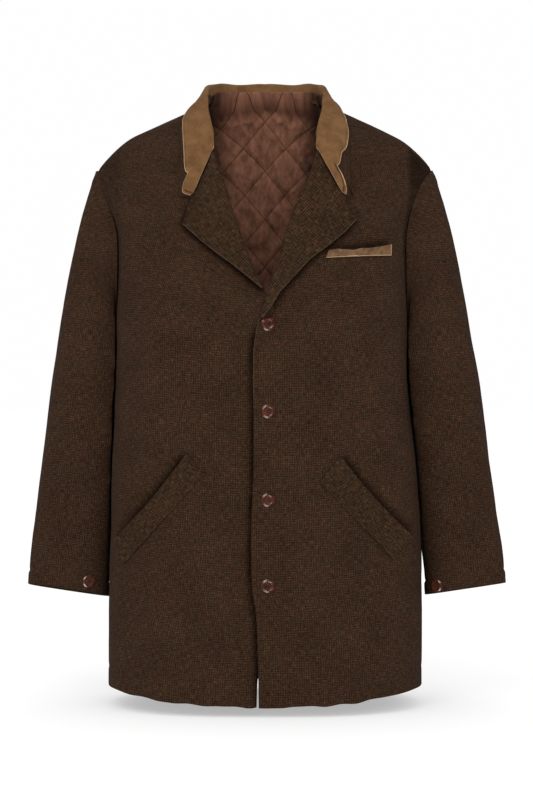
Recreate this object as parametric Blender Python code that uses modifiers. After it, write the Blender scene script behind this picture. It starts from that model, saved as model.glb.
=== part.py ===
"""Three-quarter-length tweed overcoat, filled out with no wearer inside.

Frame: metres, +Z up, the front faces -Y and +X is the wearer's left. The origin is the middle of the neck,
level with the neck seam, where the wearer's neck and shoulders hold the coat. "Left" and "right" are the
wearer's. Every cloth piece is a wall: an outer surface worked out from the sizes below, and an inner one a
cloth's thickness behind it.
"""
import math

import bpy
import numpy as np
from mathutils import Vector

# ---------------------------------------------------------------- driving sizes (metres)
LEFT = 1
RIGHT = -1
NAMES = {LEFT: "left", RIGHT: "right"}

PIT_Z = -0.355            # bottom of the armholes
SIDE_HEM_Z = -0.874       # hem at the side seams
HEM_DIP = 0.0165          # the hem hangs lower in the middle of the front and back
HEM_DIP_POWER = 4         # and how late it falls there
MID_Y = 0.010             # depth of the side seams and of the shoulder ridge
PLAN_POWER = 2.6          # roundness of the body seen from above
FRONT_ARCH = 2.0          # roundness of the chest below the shoulder ridge, seen from the side
BACK_ARCH = 3.4           # the same for the squarer shoulder blades

NECK_X = 0.097            # the shoulder seam starts here, at the side of the neck
NECK_TOP_Z = -0.010       # height of the shoulder ridge there
BACK_NECK_Y = 0.067       # depth of the neckline at the middle of the back
NECKLINE_POWER = 2.4      # roundness of the back neckline, seen from above
SHOULDER_SLOPE = 0.45     # fall of the ridge for each metre outwards
RIDGE_ROUND = 0.030       # the ridge rounds over in the middle
SHOULDER_ROUND_X = 0.190  # outside this the ridge also curves down
SHOULDER_ROUND = 6.63     # curvature of that stretch, per metre
SEAM_NECK_LEVEL = 0.76    # the shoulder seam lies in front of the ridge (level 1) at the neck
SEAM_TIP_LEVEL = 0.96     # and almost on it at the tip of the shoulder
TOP_EDGE_BEND = 3         # how late the back's rows bend to follow its top edge

CLOTH = 0.0025            # tweed
SUEDE = 0.0015
UNDER_CLOTH = 0.0020      # under collar
LAPEL_CLOTH = 0.0030      # facing and turning together
LINING = 0.0020
WELT = 0.0018
PANEL_TRIM = 0.0002       # the panels are cut back by this much at their seams
SLEEVE_START = 0.00045    # and the sleeves start this far from the armhole's edge

BUTTON_RADIUS = 0.0100
BUTTON_THICKNESS = 0.0036
BUTTON_SIDES = 16

# columns of the back between the two ends of the shoulder seams, as shares of their angle
NECK_COLUMNS = [0.0, 0.19, 0.38, 0.56, 0.72, 0.85, 0.93, 0.97, 0.992]
ROWS_BELOW_PIT = 14
ROWS_ABOVE_PIT = 12
COLUMNS_SIDE = 11

# half width of the body at the side seams: height, wearer's right, wearer's left
BODY_WIDTH = [
    ("height", "right", "left"),
    (-0.900, 0.2345, 0.2345),
    (-0.717, 0.2340, 0.2350),
    (-0.626, 0.2310, 0.2318),
    (-0.560, 0.2288, 0.2270),
    (-0.480, 0.2255, 0.2190),
    (-0.390, 0.2223, 0.2125),
    (-0.355, 0.2222, 0.2123),
]

# the same up the armhole: share of the height from the pit to the ridge, wearer's right, wearer's left
ARMHOLE_WIDTH = [
    ("share", "right", "left"),
    (0.00, 0.2222, 0.2123),
    (0.26, 0.2220, 0.2125),
    (0.50, 0.2242, 0.2145),
    (0.60, 0.2290, 0.2190),
    (0.70, 0.2370, 0.2260),
    (0.80, 0.2450, 0.2350),
    (0.93, 0.2525, 0.2475),
    (1.00, 0.2550, 0.2545),
]

# half depth of the body: height, front, back
BODY_DEPTH = [
    ("height", "front", "back"),
    (-0.900, 0.150, 0.148),
    (-0.600, 0.144, 0.138),
    (-0.355, 0.140, 0.134),
]

# where the panels end at the armhole: share of the way from the pit to the seam, angle from the middle
ARMHOLE_EDGE = [
    ("share", "angle"),
    (0.00, 90.0),
    (0.08, 83.0),
    (0.20, 76.0),
    (0.35, 72.0),
    (0.50, 72.0),
    (0.65, 73.0),
    (0.80, 74.5),
    (1.00, 77.0),
]

# inner edge of each front from the neck down to the hem: height, distance from the middle to its own side
TOP_FRONT_EDGE = [
    ("height", "out"),
    (-0.012, 0.0970),
    (-0.030, 0.0940),
    (-0.055, 0.0880),
    (-0.084, 0.0765),
    (-0.138, 0.0595),
    (-0.175, 0.0410),
    (-0.219, 0.0264),
    (-0.257, 0.0158),
    (-0.288, 0.0055),
    (-0.318, -0.0035),
    (-0.345, -0.0118),
    (-0.391, -0.0172),
    (-0.530, -0.0162),
    (-0.654, -0.0200),
    (-0.717, -0.0186),
    (-0.764, -0.0122),
    (-0.823, -0.0100),
    (-0.900, -0.0086),
]
UNDER_FRONT_EDGE = [
    ("height", "out"),
    (-0.012, 0.0970),
    (-0.030, 0.0940),
    (-0.055, 0.0880),
    (-0.084, 0.0760),
    (-0.138, 0.0580),
    (-0.197, 0.0390),
    (-0.252, 0.0187),
    (-0.294, -0.0014),
    (-0.330, -0.0180),
    (-0.352, -0.0250),
    (-0.600, -0.0240),
    (-0.716, -0.0140),
    (-0.790, 0.0000),
    (-0.857, 0.0108),
    (-0.900, 0.0122),
]
UNDER_DROP = CLOTH + 0.0008     # how far the under front lies inside the top one
UNDER_DROP_FROM = 0.060         # distance from the middle where it starts to sink
UNDER_DROP_TO = 0.022           # and where it has sunk all the way

# arm of the sleeve: height of its axis, outer reach on the right and left, half width, half depth, depth of
# the axis, squareness
SLEEVE_SECTIONS = [
    ("height", "right", "left", "wide", "deep", "depth", "power"),
    (-0.375, 0.3145, 0.3140, 0.0660, 0.064, 0.032, 2.2),
    (-0.435, 0.3235, 0.3245, 0.0645, 0.062, 0.031, 2.2),
    (-0.525, 0.3335, 0.3365, 0.0625, 0.058, 0.029, 2.3),
    (-0.616, 0.3440, 0.3480, 0.0610, 0.052, 0.024, 2.5),
    (-0.706, 0.3545, 0.3605, 0.0600, 0.045, 0.018, 2.7),
    (-0.7303, 0.3560, 0.3620, 0.0600, 0.043, 0.016, 2.8),
]
SLEEVE_TILT = math.radians(8.5)   # the arms hang a little outwards
CUFF_DROP = {RIGHT: 0.012, LEFT: 0.008}   # how much lower the back of the cuff hangs than its front
CUFF_DROP_FROM = -0.650
CAP_ROWS = 8
ARM_ROWS = 12
ARM_GAP = 0.003                   # between the sleeve and the body that it hangs against

# direction in which the sleeve leaves the armhole: angle round it from the top, out, back, up, length
CAP_TANGENT = [
    ("angle", "out", "back", "up", "length"),
    (0.0, 0.36, 0.00, -0.93, 0.260),
    (45.0, 0.60, 0.05, -0.79, 0.200),
    (90.0, 0.80, 0.12, -0.58, 0.110),
    (140.0, 0.70, 0.05, -0.70, 0.045),
    (180.0, 0.35, 0.00, -0.94, 0.030),
]

# collar, by the share of the neck edge from the middle of the back to the gorge: how far the roll leans
# inwards from the neck edge, its height above it, its tilt forward in degrees, the spring of the fall
# between the roll and the free edge, and the free edge
COLLAR_SECTIONS = [
    ("along", "lean", "stand", "tilt", "spring", "edge_x", "edge_y", "edge_z"),
    (0.00, 0.0010, 0.0140, 0.0, 0.0060, 0.0000, 0.114, -0.030),
    (0.17, 0.0000, 0.0190, 0.0, 0.0060, 0.0520, 0.110, -0.032),
    (0.32, 0.0020, 0.0255, 0.0, 0.0030, 0.0830, 0.087, -0.033),
    (0.43, 0.0048, 0.0250, 0.0, 0.0010, 0.0930, 0.045, -0.020),
    (0.56, 0.0078, 0.0180, 12.0, 0.0010, 0.1010, 0.005, -0.014),
    (0.72, 0.0090, 0.0105, 38.0, 0.0050, 0.1270, -0.050, -0.052),
    (0.80, 0.0095, 0.0095, 50.0, 0.0060, 0.1265, -0.070, -0.076),
    (0.89, 0.0090, 0.0095, 58.0, 0.0060, 0.1260, -0.086, -0.112),
    (0.96, 0.0055, 0.0100, 63.0, 0.0060, 0.1270, -0.096, -0.154),
    (1.00, 0.0035, 0.0100, 65.0, 0.0060, 0.1080, -0.100, -0.157),
]

# lapels: share of the way up the roll line, outline beside it (distance out from the middle, height)
TOP_LAPEL_ROLL = (-0.331, -0.084)       # heights where the roll line starts and ends
TOP_LAPEL = [
    ("share", "out", "height"),
    (0.00, -0.0030, -0.3325),
    (0.08, 0.0100, -0.3157),
    (0.20, 0.0216, -0.2955),
    (0.30, 0.0360, -0.2796),
    (0.40, 0.0506, -0.2636),
    (0.50, 0.0650, -0.2478),
    (0.65, 0.0939, -0.2260),
    (0.78, 0.1156, -0.2073),
    (0.88, 0.1320, -0.1893),
    (0.94, 0.1235, -0.1715),
    (1.00, 0.1150, -0.1545),
]
UNDER_LAPEL_ROLL = (-0.286, -0.084)
UNDER_LAPEL = [
    ("share", "out", "height"),
    (0.00, 0.0045, -0.2905),
    (0.12, 0.0237, -0.2745),
    (0.28, 0.0460, -0.2564),
    (0.44, 0.0679, -0.2405),
    (0.62, 0.0930, -0.2200),
    (0.80, 0.1180, -0.1972),
    (0.90, 0.1115, -0.1765),
    (1.00, 0.1060, -0.1560),
]
LAPEL_COLUMNS = 6
LAPEL_CROWDING = 1.3      # its columns lie closer together near the fold
LAPEL_REST = 0.0006       # between the lapel's free edge and the front under it
ROLL_LIFT = 0.0045        # the rolled fold stands this much higher
ROLL_REACH = 0.008        # at this distance from the fold
GORGE_GAP = 0.0006        # between the lapel and the collar

GORGE_CLEAR = 0.006       # rows of the collar start this far above the gorge
COLLAR_CORNER = 0.70      # place of the collar's lower corner on its last stretch of the neck edge
STAND_GAP = 0.0016        # between the neck edge and the stand
COLLAR_SEAM = 0.0004      # between the facing and the under collar
ROLL_RADIUS = 0.0047
COLLAR_REST = 0.0085      # least distance from the body to the collar's upper side
FREE_EDGE_REST = 0.0068   # and the distance at the free edge
COLLAR_STEPS = 5          # columns across the fall

# free edge of the suede facing, as a share of the way from the roll to the under collar's edge
FACING_EDGE = [
    ("along", "right", "left"),
    (0.00, 0.86, 0.86),
    (0.56, 0.84, 0.84),
    (0.72, 0.86, 0.84),
    (0.80, 0.84, 0.80),
    (0.89, 0.80, 0.68),
    (0.96, 0.80, 0.52),
    (1.00, 0.93, 0.96),
]

HIP_WELT = {
    LEFT: [
        ("corner", "out", "height"),
        ("opening, upper end", 0.1085, -0.5304),
        ("opening, lower end", 0.2180, -0.6490),
        ("seam, upper end", 0.0787, -0.5673),
        ("seam, lower end", 0.1895, -0.6835),
    ],
    RIGHT: [
        ("corner", "out", "height"),
        ("opening, upper end", 0.1124, -0.5260),
        ("opening, lower end", 0.2220, -0.6530),
        ("seam, upper end", 0.0877, -0.5573),
        ("seam, lower end", 0.2080, -0.6900),
    ],
}
HIP_WELT_SAG = 0.006      # the opening edge sags in its middle
BREAST_WELT = [
    ("corner", "out", "height"),
    ("opening, inner end", 0.0926, -0.2335),
    ("opening, outer end", 0.1850, -0.2226),
    ("seam, inner end", 0.0880, -0.2450),
    ("seam, outer end", 0.1850, -0.2387),
]
BREAST_WELT_SAG = 0.003
HIP_WELT_GRID = (12, 4)   # spans along and across
BREAST_WELT_GRID = (10, 2)
WELT_REST = 0.0010        # between a welt and the front under it

FRONT_BUTTON_X = 0.005
FRONT_BUTTON_Z = [-0.341, -0.4665, -0.5934, -0.7163]
BUTTON_REST = 0.0006      # between a front button and the cloth
# cuff buttons: distance out, height, and place above the sleeve's round section, which its flat faces cut off
CUFF_BUTTON = {RIGHT: (0.262, -0.7200, -0.0002), LEFT: (0.256, -0.7270, -0.0003)}

# quilted lining: the diamonds are two steps wide and two steps tall
QUILT_STEP_X = 0.030
QUILT_STEP_Z = 0.0375
QUILT_HALF_COLUMNS = 7
QUILT_ROWS = 23
QUILT_TOP_Z = -0.017      # the highest crossing of the stitching, in the middle of the back
LINING_NECK_Z = 0.013     # top of the lining in the middle
QUILT_FIT_Z = -0.130      # above this the rows close up to follow the neckline and the shoulders
QUILT_PUFF = 0.0035
LINING_REST = 0.0021      # between the back and its lining
LINING_TOP_LEVEL = 0.94   # it ends this near the shoulder ridge
LINING_NECK_GAP = 0.012   # and this far below the neckline, as a level


# ---------------------------------------------------------------- curves and surfaces
def smooth(table, name, at):
    """A column of a table as a smooth curve that never overshoots its rows."""
    rows = sorted(table[1:])
    spot = np.array([row[0] for row in rows])
    value = np.array([row[table[0].index(name)] for row in rows])
    secant = np.diff(value) / np.diff(spot)
    slope = np.zeros(len(value))
    slope[0] = secant[0]
    slope[-1] = secant[-1]
    product = secant[:-1] * secant[1:]
    total = secant[:-1] + secant[1:]
    same_way = product > 0
    slope[1:-1][same_way] = 2 * product[same_way] / total[same_way]
    at = np.clip(at, spot[0], spot[-1])
    k = np.clip(np.searchsorted(spot, at, side="right") - 1, 0, len(spot) - 2)
    width = spot[k + 1] - spot[k]
    t = (at - spot[k]) / width
    start = (1 + 2 * t) * (1 - t) ** 2 * value[k] + t * (1 - t) ** 2 * width * slope[k]
    end = t * t * (3 - 2 * t) * value[k + 1] - t * t * (1 - t) * width * slope[k + 1]
    return start + end


def straight(table, name, at):
    """A column of a table as straight runs between its rows."""
    column = table[0].index(name)
    return np.interp(at, [row[0] for row in table[1:]], [row[column] for row in table[1:]])


def ease(t):
    """0 to 1 with a soft start and end."""
    t = np.clip(t, 0.0, 1.0)
    return t * t * (3 - 2 * t)


def rounded(angle, power):
    """Sine and cosine of a rounded square: power 2 is a circle, more is squarer."""
    s = np.sin(angle)
    c = np.cos(angle)
    reach = (np.abs(s) ** power + np.abs(c) ** power) ** (1 / power)
    return s / reach, c / reach


def ridge_z(x):
    """Height of the shoulder ridge."""
    out = np.hypot(x, RIDGE_ROUND) - math.hypot(NECK_X, RIDGE_ROUND)
    past = np.maximum(np.abs(x) - SHOULDER_ROUND_X, 0.0)
    return NECK_TOP_Z - SHOULDER_SLOPE * out - SHOULDER_ROUND * past ** 2


def hem_height(deep):
    """Height of the hem where the body's depth is this share of its depth in the middle."""
    return SIDE_HEM_Z - HEM_DIP * deep ** HEM_DIP_POWER


def half_width(x, z, share):
    """Half width of the body on the side of x, by height below the pit and by share above it."""
    below = np.where(x < 0, smooth(BODY_WIDTH, "right", z), smooth(BODY_WIDTH, "left", z))
    above = np.where(x < 0, smooth(ARMHOLE_WIDTH, "right", share), smooth(ARMHOLE_WIDTH, "left", share))
    return np.where(share > 0, above, below)


def body(face, angle, level):
    """Point on the body's outer surface.

    face is -1 for the front and 1 for the back. angle goes round from the middle, in degrees, + to the left.
    level is -1 at the hem, 0 at the pit, 1 on the shoulder ridge, and more than 1 beyond the ridge.
    """
    angle, level = np.broadcast_arrays(np.radians(np.asarray(angle, float)), np.asarray(level, float))
    across, deep = rounded(angle, PLAN_POWER)
    past_ridge = level > 1
    face = np.where(past_ridge, -face, face)
    rise = np.radians(90 * np.clip(np.where(past_ridge, 2 - level, level), 0, 1))
    front_share, front_deep = rounded(rise, FRONT_ARCH)
    back_share, back_deep = rounded(rise, BACK_ARCH)
    share = np.where(face < 0, front_share, back_share)
    arch = np.where(face < 0, front_deep, back_deep)
    share = np.where(level > 0, share, 0.0)
    arch = np.where(level > 0, arch, 1.0)
    hem_z = hem_height(deep)
    z = PIT_Z + (PIT_Z - hem_z) * np.minimum(level, 0)
    x = across * half_width(across, z, share)
    z = np.where(level > 0, PIT_Z + (ridge_z(x) - PIT_Z) * share, z)
    low_z = np.minimum(z, PIT_Z)
    half_depth = np.where(face < 0, smooth(BODY_DEPTH, "front", low_z), smooth(BODY_DEPTH, "back", low_z))
    y = MID_Y + face * half_depth * deep * arch
    return np.stack([x, y, z], axis=-1)


def unit(vector):
    return vector / np.maximum(np.linalg.norm(vector, axis=-1, keepdims=True), 1e-12)


def body_normal(face, angle, level):
    """Outward direction of the body's surface."""
    around = body(face, angle + 0.4, level) - body(face, angle - 0.4, level)
    up = body(face, angle, level + 0.003) - body(face, angle, level - 0.003)
    normal = unit(np.cross(around, up))
    point = body(face, angle, level)
    outward = point - np.array([0.0, MID_Y, PIT_Z])
    outward[..., 2] = np.maximum(outward[..., 2], 0.0)
    facing = np.sum(normal * outward, axis=-1, keepdims=True)
    return np.where(facing < 0, -normal, normal)


def front_place(x, z):
    """Angle and level of the point of the front that is seen at x, z."""
    x, z = np.broadcast_arrays(np.asarray(x, float), np.asarray(z, float))
    share = np.clip((z - PIT_Z) / (ridge_z(x) - PIT_Z), 0.0, 1.0)
    arch = (1 - share ** FRONT_ARCH) ** (1 / FRONT_ARCH)
    across = np.clip(np.abs(x) / half_width(x, z, share), 0.0, 0.9995)
    deep = (1 - across ** PLAN_POWER) ** (1 / PLAN_POWER)
    angle = np.degrees(np.arctan2(across, deep)) * np.where(x < 0, -1, 1)
    hem_z = hem_height(deep)
    level = np.where(z > PIT_Z, np.degrees(np.arctan2(share, arch)) / 90, (z - PIT_Z) / (PIT_Z - hem_z))
    return angle, level


def under_drop(side, x):
    """How far a front is sunk below the body's surface, so that the other one can lie on it."""
    if side == LEFT:
        return np.zeros_like(x)
    return UNDER_DROP * ease((UNDER_DROP_FROM + x) / (UNDER_DROP_FROM - UNDER_DROP_TO))


def on_front(side, x, z, out):
    """Point that is seen at x, z and lies the distance out above a front, and the outward direction there."""
    x, z, out = np.broadcast_arrays(np.asarray(x, float), np.asarray(z, float), np.asarray(out, float))
    foot_x = x.copy()
    foot_z = z.copy()
    for _ in range(10):
        angle, level = front_place(foot_x, foot_z)
        normal = body_normal(-1, angle, level)
        lift = (out - under_drop(side, foot_x))[..., None]
        point = body(-1, angle, level) + normal * lift
        foot_x = foot_x + x - point[..., 0]
        foot_z = foot_z + z - point[..., 2]
    return point, normal


# ---------------------------------------------------------------- solids
def material(name, colour, roughness):
    made = bpy.data.materials.new(name)
    made.use_nodes = True
    shader = made.node_tree.nodes["Principled BSDF"]
    shader.inputs["Base Color"].default_value = (*colour, 1.0)
    shader.inputs["Roughness"].default_value = roughness
    shader.inputs["Metallic"].default_value = 0.0
    return made


def add_object(name, mesh, finish):
    mesh.materials.append(finish)
    made = bpy.data.objects.new(name, mesh)
    bpy.data.collections["overcoat"].objects.link(made)
    return made


def wall(name, outer, inner, finish, closed=False, raised=None):
    """Closed solid between two grids of points.

    closed joins the last column to the first. raised marks the points that stand up between the lines of
    quilting, so that the faces fold along those lines.
    """
    across = outer[1:-1, 2:] - outer[1:-1, :-2]
    along = outer[2:, 1:-1] - outer[:-2, 1:-1]
    thickness = (outer - inner)[1:-1, 1:-1]
    if np.sum(np.cross(across, along) * thickness) < 0:
        outer = outer[:, ::-1]
        inner = inner[:, ::-1]
        raised = None if raised is None else raised[:, ::-1]
    rows, columns = outer.shape[:2]
    count = rows * columns
    points = np.concatenate([outer.reshape(-1, 3), inner.reshape(-1, 3)])
    spans = columns if closed else columns - 1
    faces = []
    for i in range(rows - 1):
        for j in range(spans):
            low = i * columns + j
            low_next = i * columns + (j + 1) % columns
            high = low + columns
            high_next = low_next + columns
            if raised is not None and raised[i, j]:
                pair = [(low, low_next, high), (low_next, high_next, high)]
            else:
                pair = [(low, low_next, high_next), (low, high_next, high)]
            faces += pair
            faces += [(c + count, b + count, a + count) for a, b, c in pair]
    for j in range(spans):
        first = (j, (j + 1) % columns)
        last = tuple((rows - 1) * columns + k for k in first)
        faces.append((first[1], first[0], first[0] + count, first[1] + count))
        faces.append((last[0], last[1], last[1] + count, last[0] + count))
    if not closed:
        for i in range(rows - 1):
            start = (i * columns, (i + 1) * columns)
            end = (start[0] + columns - 1, start[1] + columns - 1)
            faces.append((start[0], start[1], start[1] + count, start[0] + count))
            faces.append((end[1], end[0], end[0] + count, end[1] + count))
    mesh = bpy.data.meshes.new(name)
    mesh.from_pydata([tuple(p) for p in points], [], faces)
    mesh.shade_smooth()
    return add_object(name, mesh, finish)


def pull_back(grid, side, distance):
    """Moves one edge of a grid of points a little way into it, to leave room at a seam."""
    edges = {
        "bottom": ((0,), (1,)),
        "top": ((-1,), (-2,)),
        "first": ((slice(None), 0), (slice(None), 1)),
        "last": ((slice(None), -1), (slice(None), -2)),
    }
    edge, beside = edges[side]
    grid[edge] += unit(grid[beside] - grid[edge]) * distance


def level_at(face, angle, z):
    """Level of the point at this angle and height."""
    x = body(face, angle, np.zeros_like(z))[..., 0]
    for _ in range(6):
        share = np.clip((z - PIT_Z) / (ridge_z(x) - PIT_Z), 0.0, 1.0)
        power = FRONT_ARCH if face < 0 else BACK_ARCH
        arch = (1 - share ** power) ** (1 / power)
        level = np.degrees(np.arctan2(share, arch)) / 90
        x = body(face, angle, level)[..., 0]
    _across, deep = rounded(np.radians(angle), PLAN_POWER)
    hem_z = hem_height(deep)
    return np.where(z > PIT_Z, level, (z - PIT_Z) / (PIT_Z - hem_z))


def seam_level(across):
    """Level of the shoulder seam, from the neck (0) to the tip of the shoulder (1)."""
    return SEAM_NECK_LEVEL + (SEAM_TIP_LEVEL - SEAM_NECK_LEVEL) * across


def panel_shares():
    """Rows of a body panel: -1 at the hem, 0 at the pit, 1 at the shoulder seam."""
    below = np.linspace(-1, 0, ROWS_BELOW_PIT + 1)
    above = np.linspace(0, 1, ROWS_ABOVE_PIT + 1)
    return np.concatenate([below, above[1:]])


def side_angle(share):
    """Angle at which the panels end: the side seam, and the armhole above it."""
    return np.where(share > 0, smooth(ARMHOLE_EDGE, "angle", np.maximum(share, 0)), 90.0)


def angle_at(face, x, level):
    """Angle of the point with this x on a level of the body."""
    x, level = np.broadcast_arrays(np.asarray(x, float), np.asarray(level, float))
    width = np.abs(body(face, np.where(x < 0, -90.0, 90.0), level)[..., 0])
    across = np.clip(np.abs(x) / width, 0, 0.9995)
    deep = (1 - across ** PLAN_POWER) ** (1 / PLAN_POWER)
    return np.degrees(np.arctan2(across, deep)) * np.where(x < 0, -1, 1)


def front_edge(side, shares):
    """Angle and level of a front's inner edge on each row."""
    table = TOP_FRONT_EDGE if side == LEFT else UNDER_FRONT_EDGE
    level = np.where(shares > 0, shares * seam_level(0.0), shares)
    z = body(-1, 5.0 * side, level)[:, 2]
    for _ in range(6):
        angle = angle_at(-1, smooth(table, "out", z) * side, level)
        z = body(-1, angle, level)[:, 2]
    return angle, level


def front_panel(side):
    """Outer points and outward directions of one front, hem to shoulder and middle to side."""
    shares = panel_shares()
    across = np.linspace(0, 1, COLUMNS_SIDE + 1)
    edge_angle, _level = front_edge(side, shares)
    end_angle = side_angle(shares) * side
    angle = edge_angle[:, None] + (end_angle - edge_angle)[:, None] * across[None, :]
    level = np.where(shares[:, None] > 0, shares[:, None] * seam_level(across)[None, :], shares[:, None])
    points = body(-1, angle, level)
    normals = body_normal(-1, angle, level)
    points = points - normals * under_drop(side, points[..., 0])[..., None]
    return points, normals


def neck_angle(side):
    """Angle of the side of the neck, where the shoulder seam starts, without its sign."""
    angle, _level = front_edge(side, np.array([1.0]))
    return abs(angle[0])


def neckline_level(angle):
    """Level of the back neckline, between the two ends of the shoulder seams."""
    end_level = seam_level(0.0)
    end_angle = np.where(angle < 0, neck_angle(RIGHT), neck_angle(LEFT))
    end_y = body(-1, end_angle, end_level)[..., 1]
    out = np.clip(np.abs(angle) / end_angle, 0, 1)
    round_off = (1 - out ** NECKLINE_POWER) ** (1 / NECKLINE_POWER)
    y = end_y + (BACK_NECK_Y - end_y) * round_off
    low = np.zeros_like(y)
    high = np.full_like(y, 2 - end_level)
    for _ in range(30):
        middle = (low + high) / 2
        too_far_back = body(1, angle, middle)[..., 1] > y
        low = np.where(too_far_back, middle, low)
        high = np.where(too_far_back, high, middle)
    return (low + high) / 2


def back_levels(shares, top):
    """Levels of the back's rows, which run level below and bend to meet its top edge."""
    tip = 2 - seam_level(1.0)
    above = np.maximum(shares, 0)
    return np.minimum(shares, 0) + above * tip + (top - tip) * above ** TOP_EDGE_BEND


def back_panel():
    """Outer points and outward directions of the back, hem to shoulders and right to left."""
    shares = panel_shares()
    across = np.linspace(0, 1, COLUMNS_SIDE + 1)
    end_angle = side_angle(shares)
    neck = {side: neck_angle(side) for side in (RIGHT, LEFT)}
    outer = {side: neck[side] + (end_angle - neck[side])[:, None] * across for side in (RIGHT, LEFT)}
    columns = np.array(NECK_COLUMNS)
    inner = np.concatenate([-neck[RIGHT] * columns[:0:-1], neck[LEFT] * columns])
    middle = np.broadcast_to(inner, (len(shares), len(inner)))
    angle = np.concatenate([-outer[RIGHT][:, ::-1], middle, outer[LEFT]], axis=1)
    top_side = 2 - seam_level(across)
    top = np.concatenate([top_side[::-1], neckline_level(inner), top_side])
    level = back_levels(shares[:, None], top[None, :])
    return body(1, angle, level), body_normal(1, angle, level)


def armhole(side):
    """The armhole's edge, from the tip of the shoulder down the front to the pit and up the back."""
    shares = np.linspace(0, 1, ROWS_ABOVE_PIT + 1)
    angle = side_angle(shares) * side
    front = body(-1, angle, shares * seam_level(1.0))
    back = body(1, angle, shares * (2 - seam_level(1.0)))
    loop = np.concatenate([front[::-1], back[1:-1]])
    steps = np.linalg.norm(np.diff(np.concatenate([loop, loop[:1]]), axis=0), axis=1)
    length = np.concatenate([[0], np.cumsum(steps)])
    pit = ROWS_ABOVE_PIT
    turn = np.where(
        np.arange(len(loop)) <= pit,
        180 * length[:-1] / length[pit],
        180 + 180 * (length[:-1] - length[pit]) / (length[-1] - length[pit]),
    )
    front_normal = body_normal(-1, angle, shares * seam_level(1.0))
    back_normal = body_normal(1, angle, shares * (2 - seam_level(1.0)))
    return loop, turn, np.concatenate([front_normal[::-1], back_normal[1:-1]])


def push_out(points, clearance):
    """Moves points that are inside the body, or too near it, outwards to its surface."""
    x = points[..., 0]
    y = points[..., 1] - MID_Y
    z = points[..., 2]
    share = np.clip((z - PIT_Z) / (ridge_z(x) - PIT_Z), 0, 0.98)
    power = np.where(y < 0, FRONT_ARCH, BACK_ARCH)
    arch = (1 - share ** power) ** (1 / power)
    low_z = np.minimum(z, PIT_Z)
    half_depth = np.where(y < 0, smooth(BODY_DEPTH, "front", low_z), smooth(BODY_DEPTH, "back", low_z))
    wide = half_width(x, z, share) + clearance
    deep = half_depth * arch + clearance
    inside = (np.abs(x) / wide) ** PLAN_POWER + (np.abs(y) / deep) ** PLAN_POWER
    scale = np.maximum(np.maximum(inside, 1e-9) ** (-1 / PLAN_POWER), 1.0)
    return np.stack([x * scale, y * scale + MID_Y, z], axis=-1)


def arm_ring(side, z, turn):
    """Points round the arm of a sleeve, by height and by turn from its outer side in degrees."""
    reach = smooth(SLEEVE_SECTIONS, "left" if side == LEFT else "right", z)
    wide = smooth(SLEEVE_SECTIONS, "wide", z)
    deep = smooth(SLEEVE_SECTIONS, "deep", z)
    power = smooth(SLEEVE_SECTIONS, "power", z)
    forward, out = rounded(np.radians(turn), power)
    middle = reach - wide * math.cos(SLEEVE_TILT)
    x = side * (middle + wide * out * math.cos(SLEEVE_TILT))
    y = smooth(SLEEVE_SECTIONS, "depth", z) - deep * forward
    cuff_z = SLEEVE_SECTIONS[-1][0]
    drop = CUFF_DROP[side] * ease((CUFF_DROP_FROM - z) / (CUFF_DROP_FROM - cuff_z)) * (1 - forward) / 2
    return np.stack([x, y, z + wide * out * math.sin(SLEEVE_TILT) - drop], axis=-1)


def sleeve(side):
    """Outer and inner points of a sleeve, from the armhole to the cuff."""
    loop, turn, panel_normal = armhole(side)
    top_z = SLEEVE_SECTIONS[1][0]
    first = arm_ring(side, np.full(len(turn), top_z), turn)
    second = arm_ring(side, np.full(len(turn), top_z - 0.01), turn)
    half_turn = np.minimum(turn, 360 - turn)
    behind = np.where(turn > 180, -1.0, 1.0)
    leave = np.stack([
        side * smooth(CAP_TANGENT, "out", half_turn),
        smooth(CAP_TANGENT, "back", half_turn) * behind,
        smooth(CAP_TANGENT, "up", half_turn),
    ], axis=-1)
    length = smooth(CAP_TANGENT, "length", half_turn)[:, None]
    start = loop + unit(leave) * SLEEVE_START
    rows = []
    for t in np.linspace(0, 1, CAP_ROWS + 1):
        point = (1 + 2 * t) * (1 - t) ** 2 * start + t * t * (3 - 2 * t) * first
        point = point + t * (1 - t) ** 2 * length * unit(leave)
        rows.append(point - t * t * (1 - t) * length * unit(second - first))
    cuff_z = SLEEVE_SECTIONS[-1][0]
    for z in np.linspace(top_z, cuff_z, ARM_ROWS + 1)[1:]:
        rows.append(arm_ring(side, np.full(len(turn), z), turn))
    outer = np.stack(rows)
    for i in range(1, len(rows)):
        outer[i] = push_out(outer[i], ARM_GAP * min(1.0, i / 3))
    around = np.roll(outer, -1, axis=1) - np.roll(outer, 1, axis=1)
    down = np.gradient(outer, axis=0)
    normal = unit(np.cross(around, down)) * side
    alike = np.sum(normal[0] * panel_normal, axis=-1, keepdims=True)
    normal[0] = unit(normal[0] + (panel_normal - normal[0]) * ease((alike - 0.4) / 0.3))
    return outer, outer - normal * CLOTH


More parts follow.
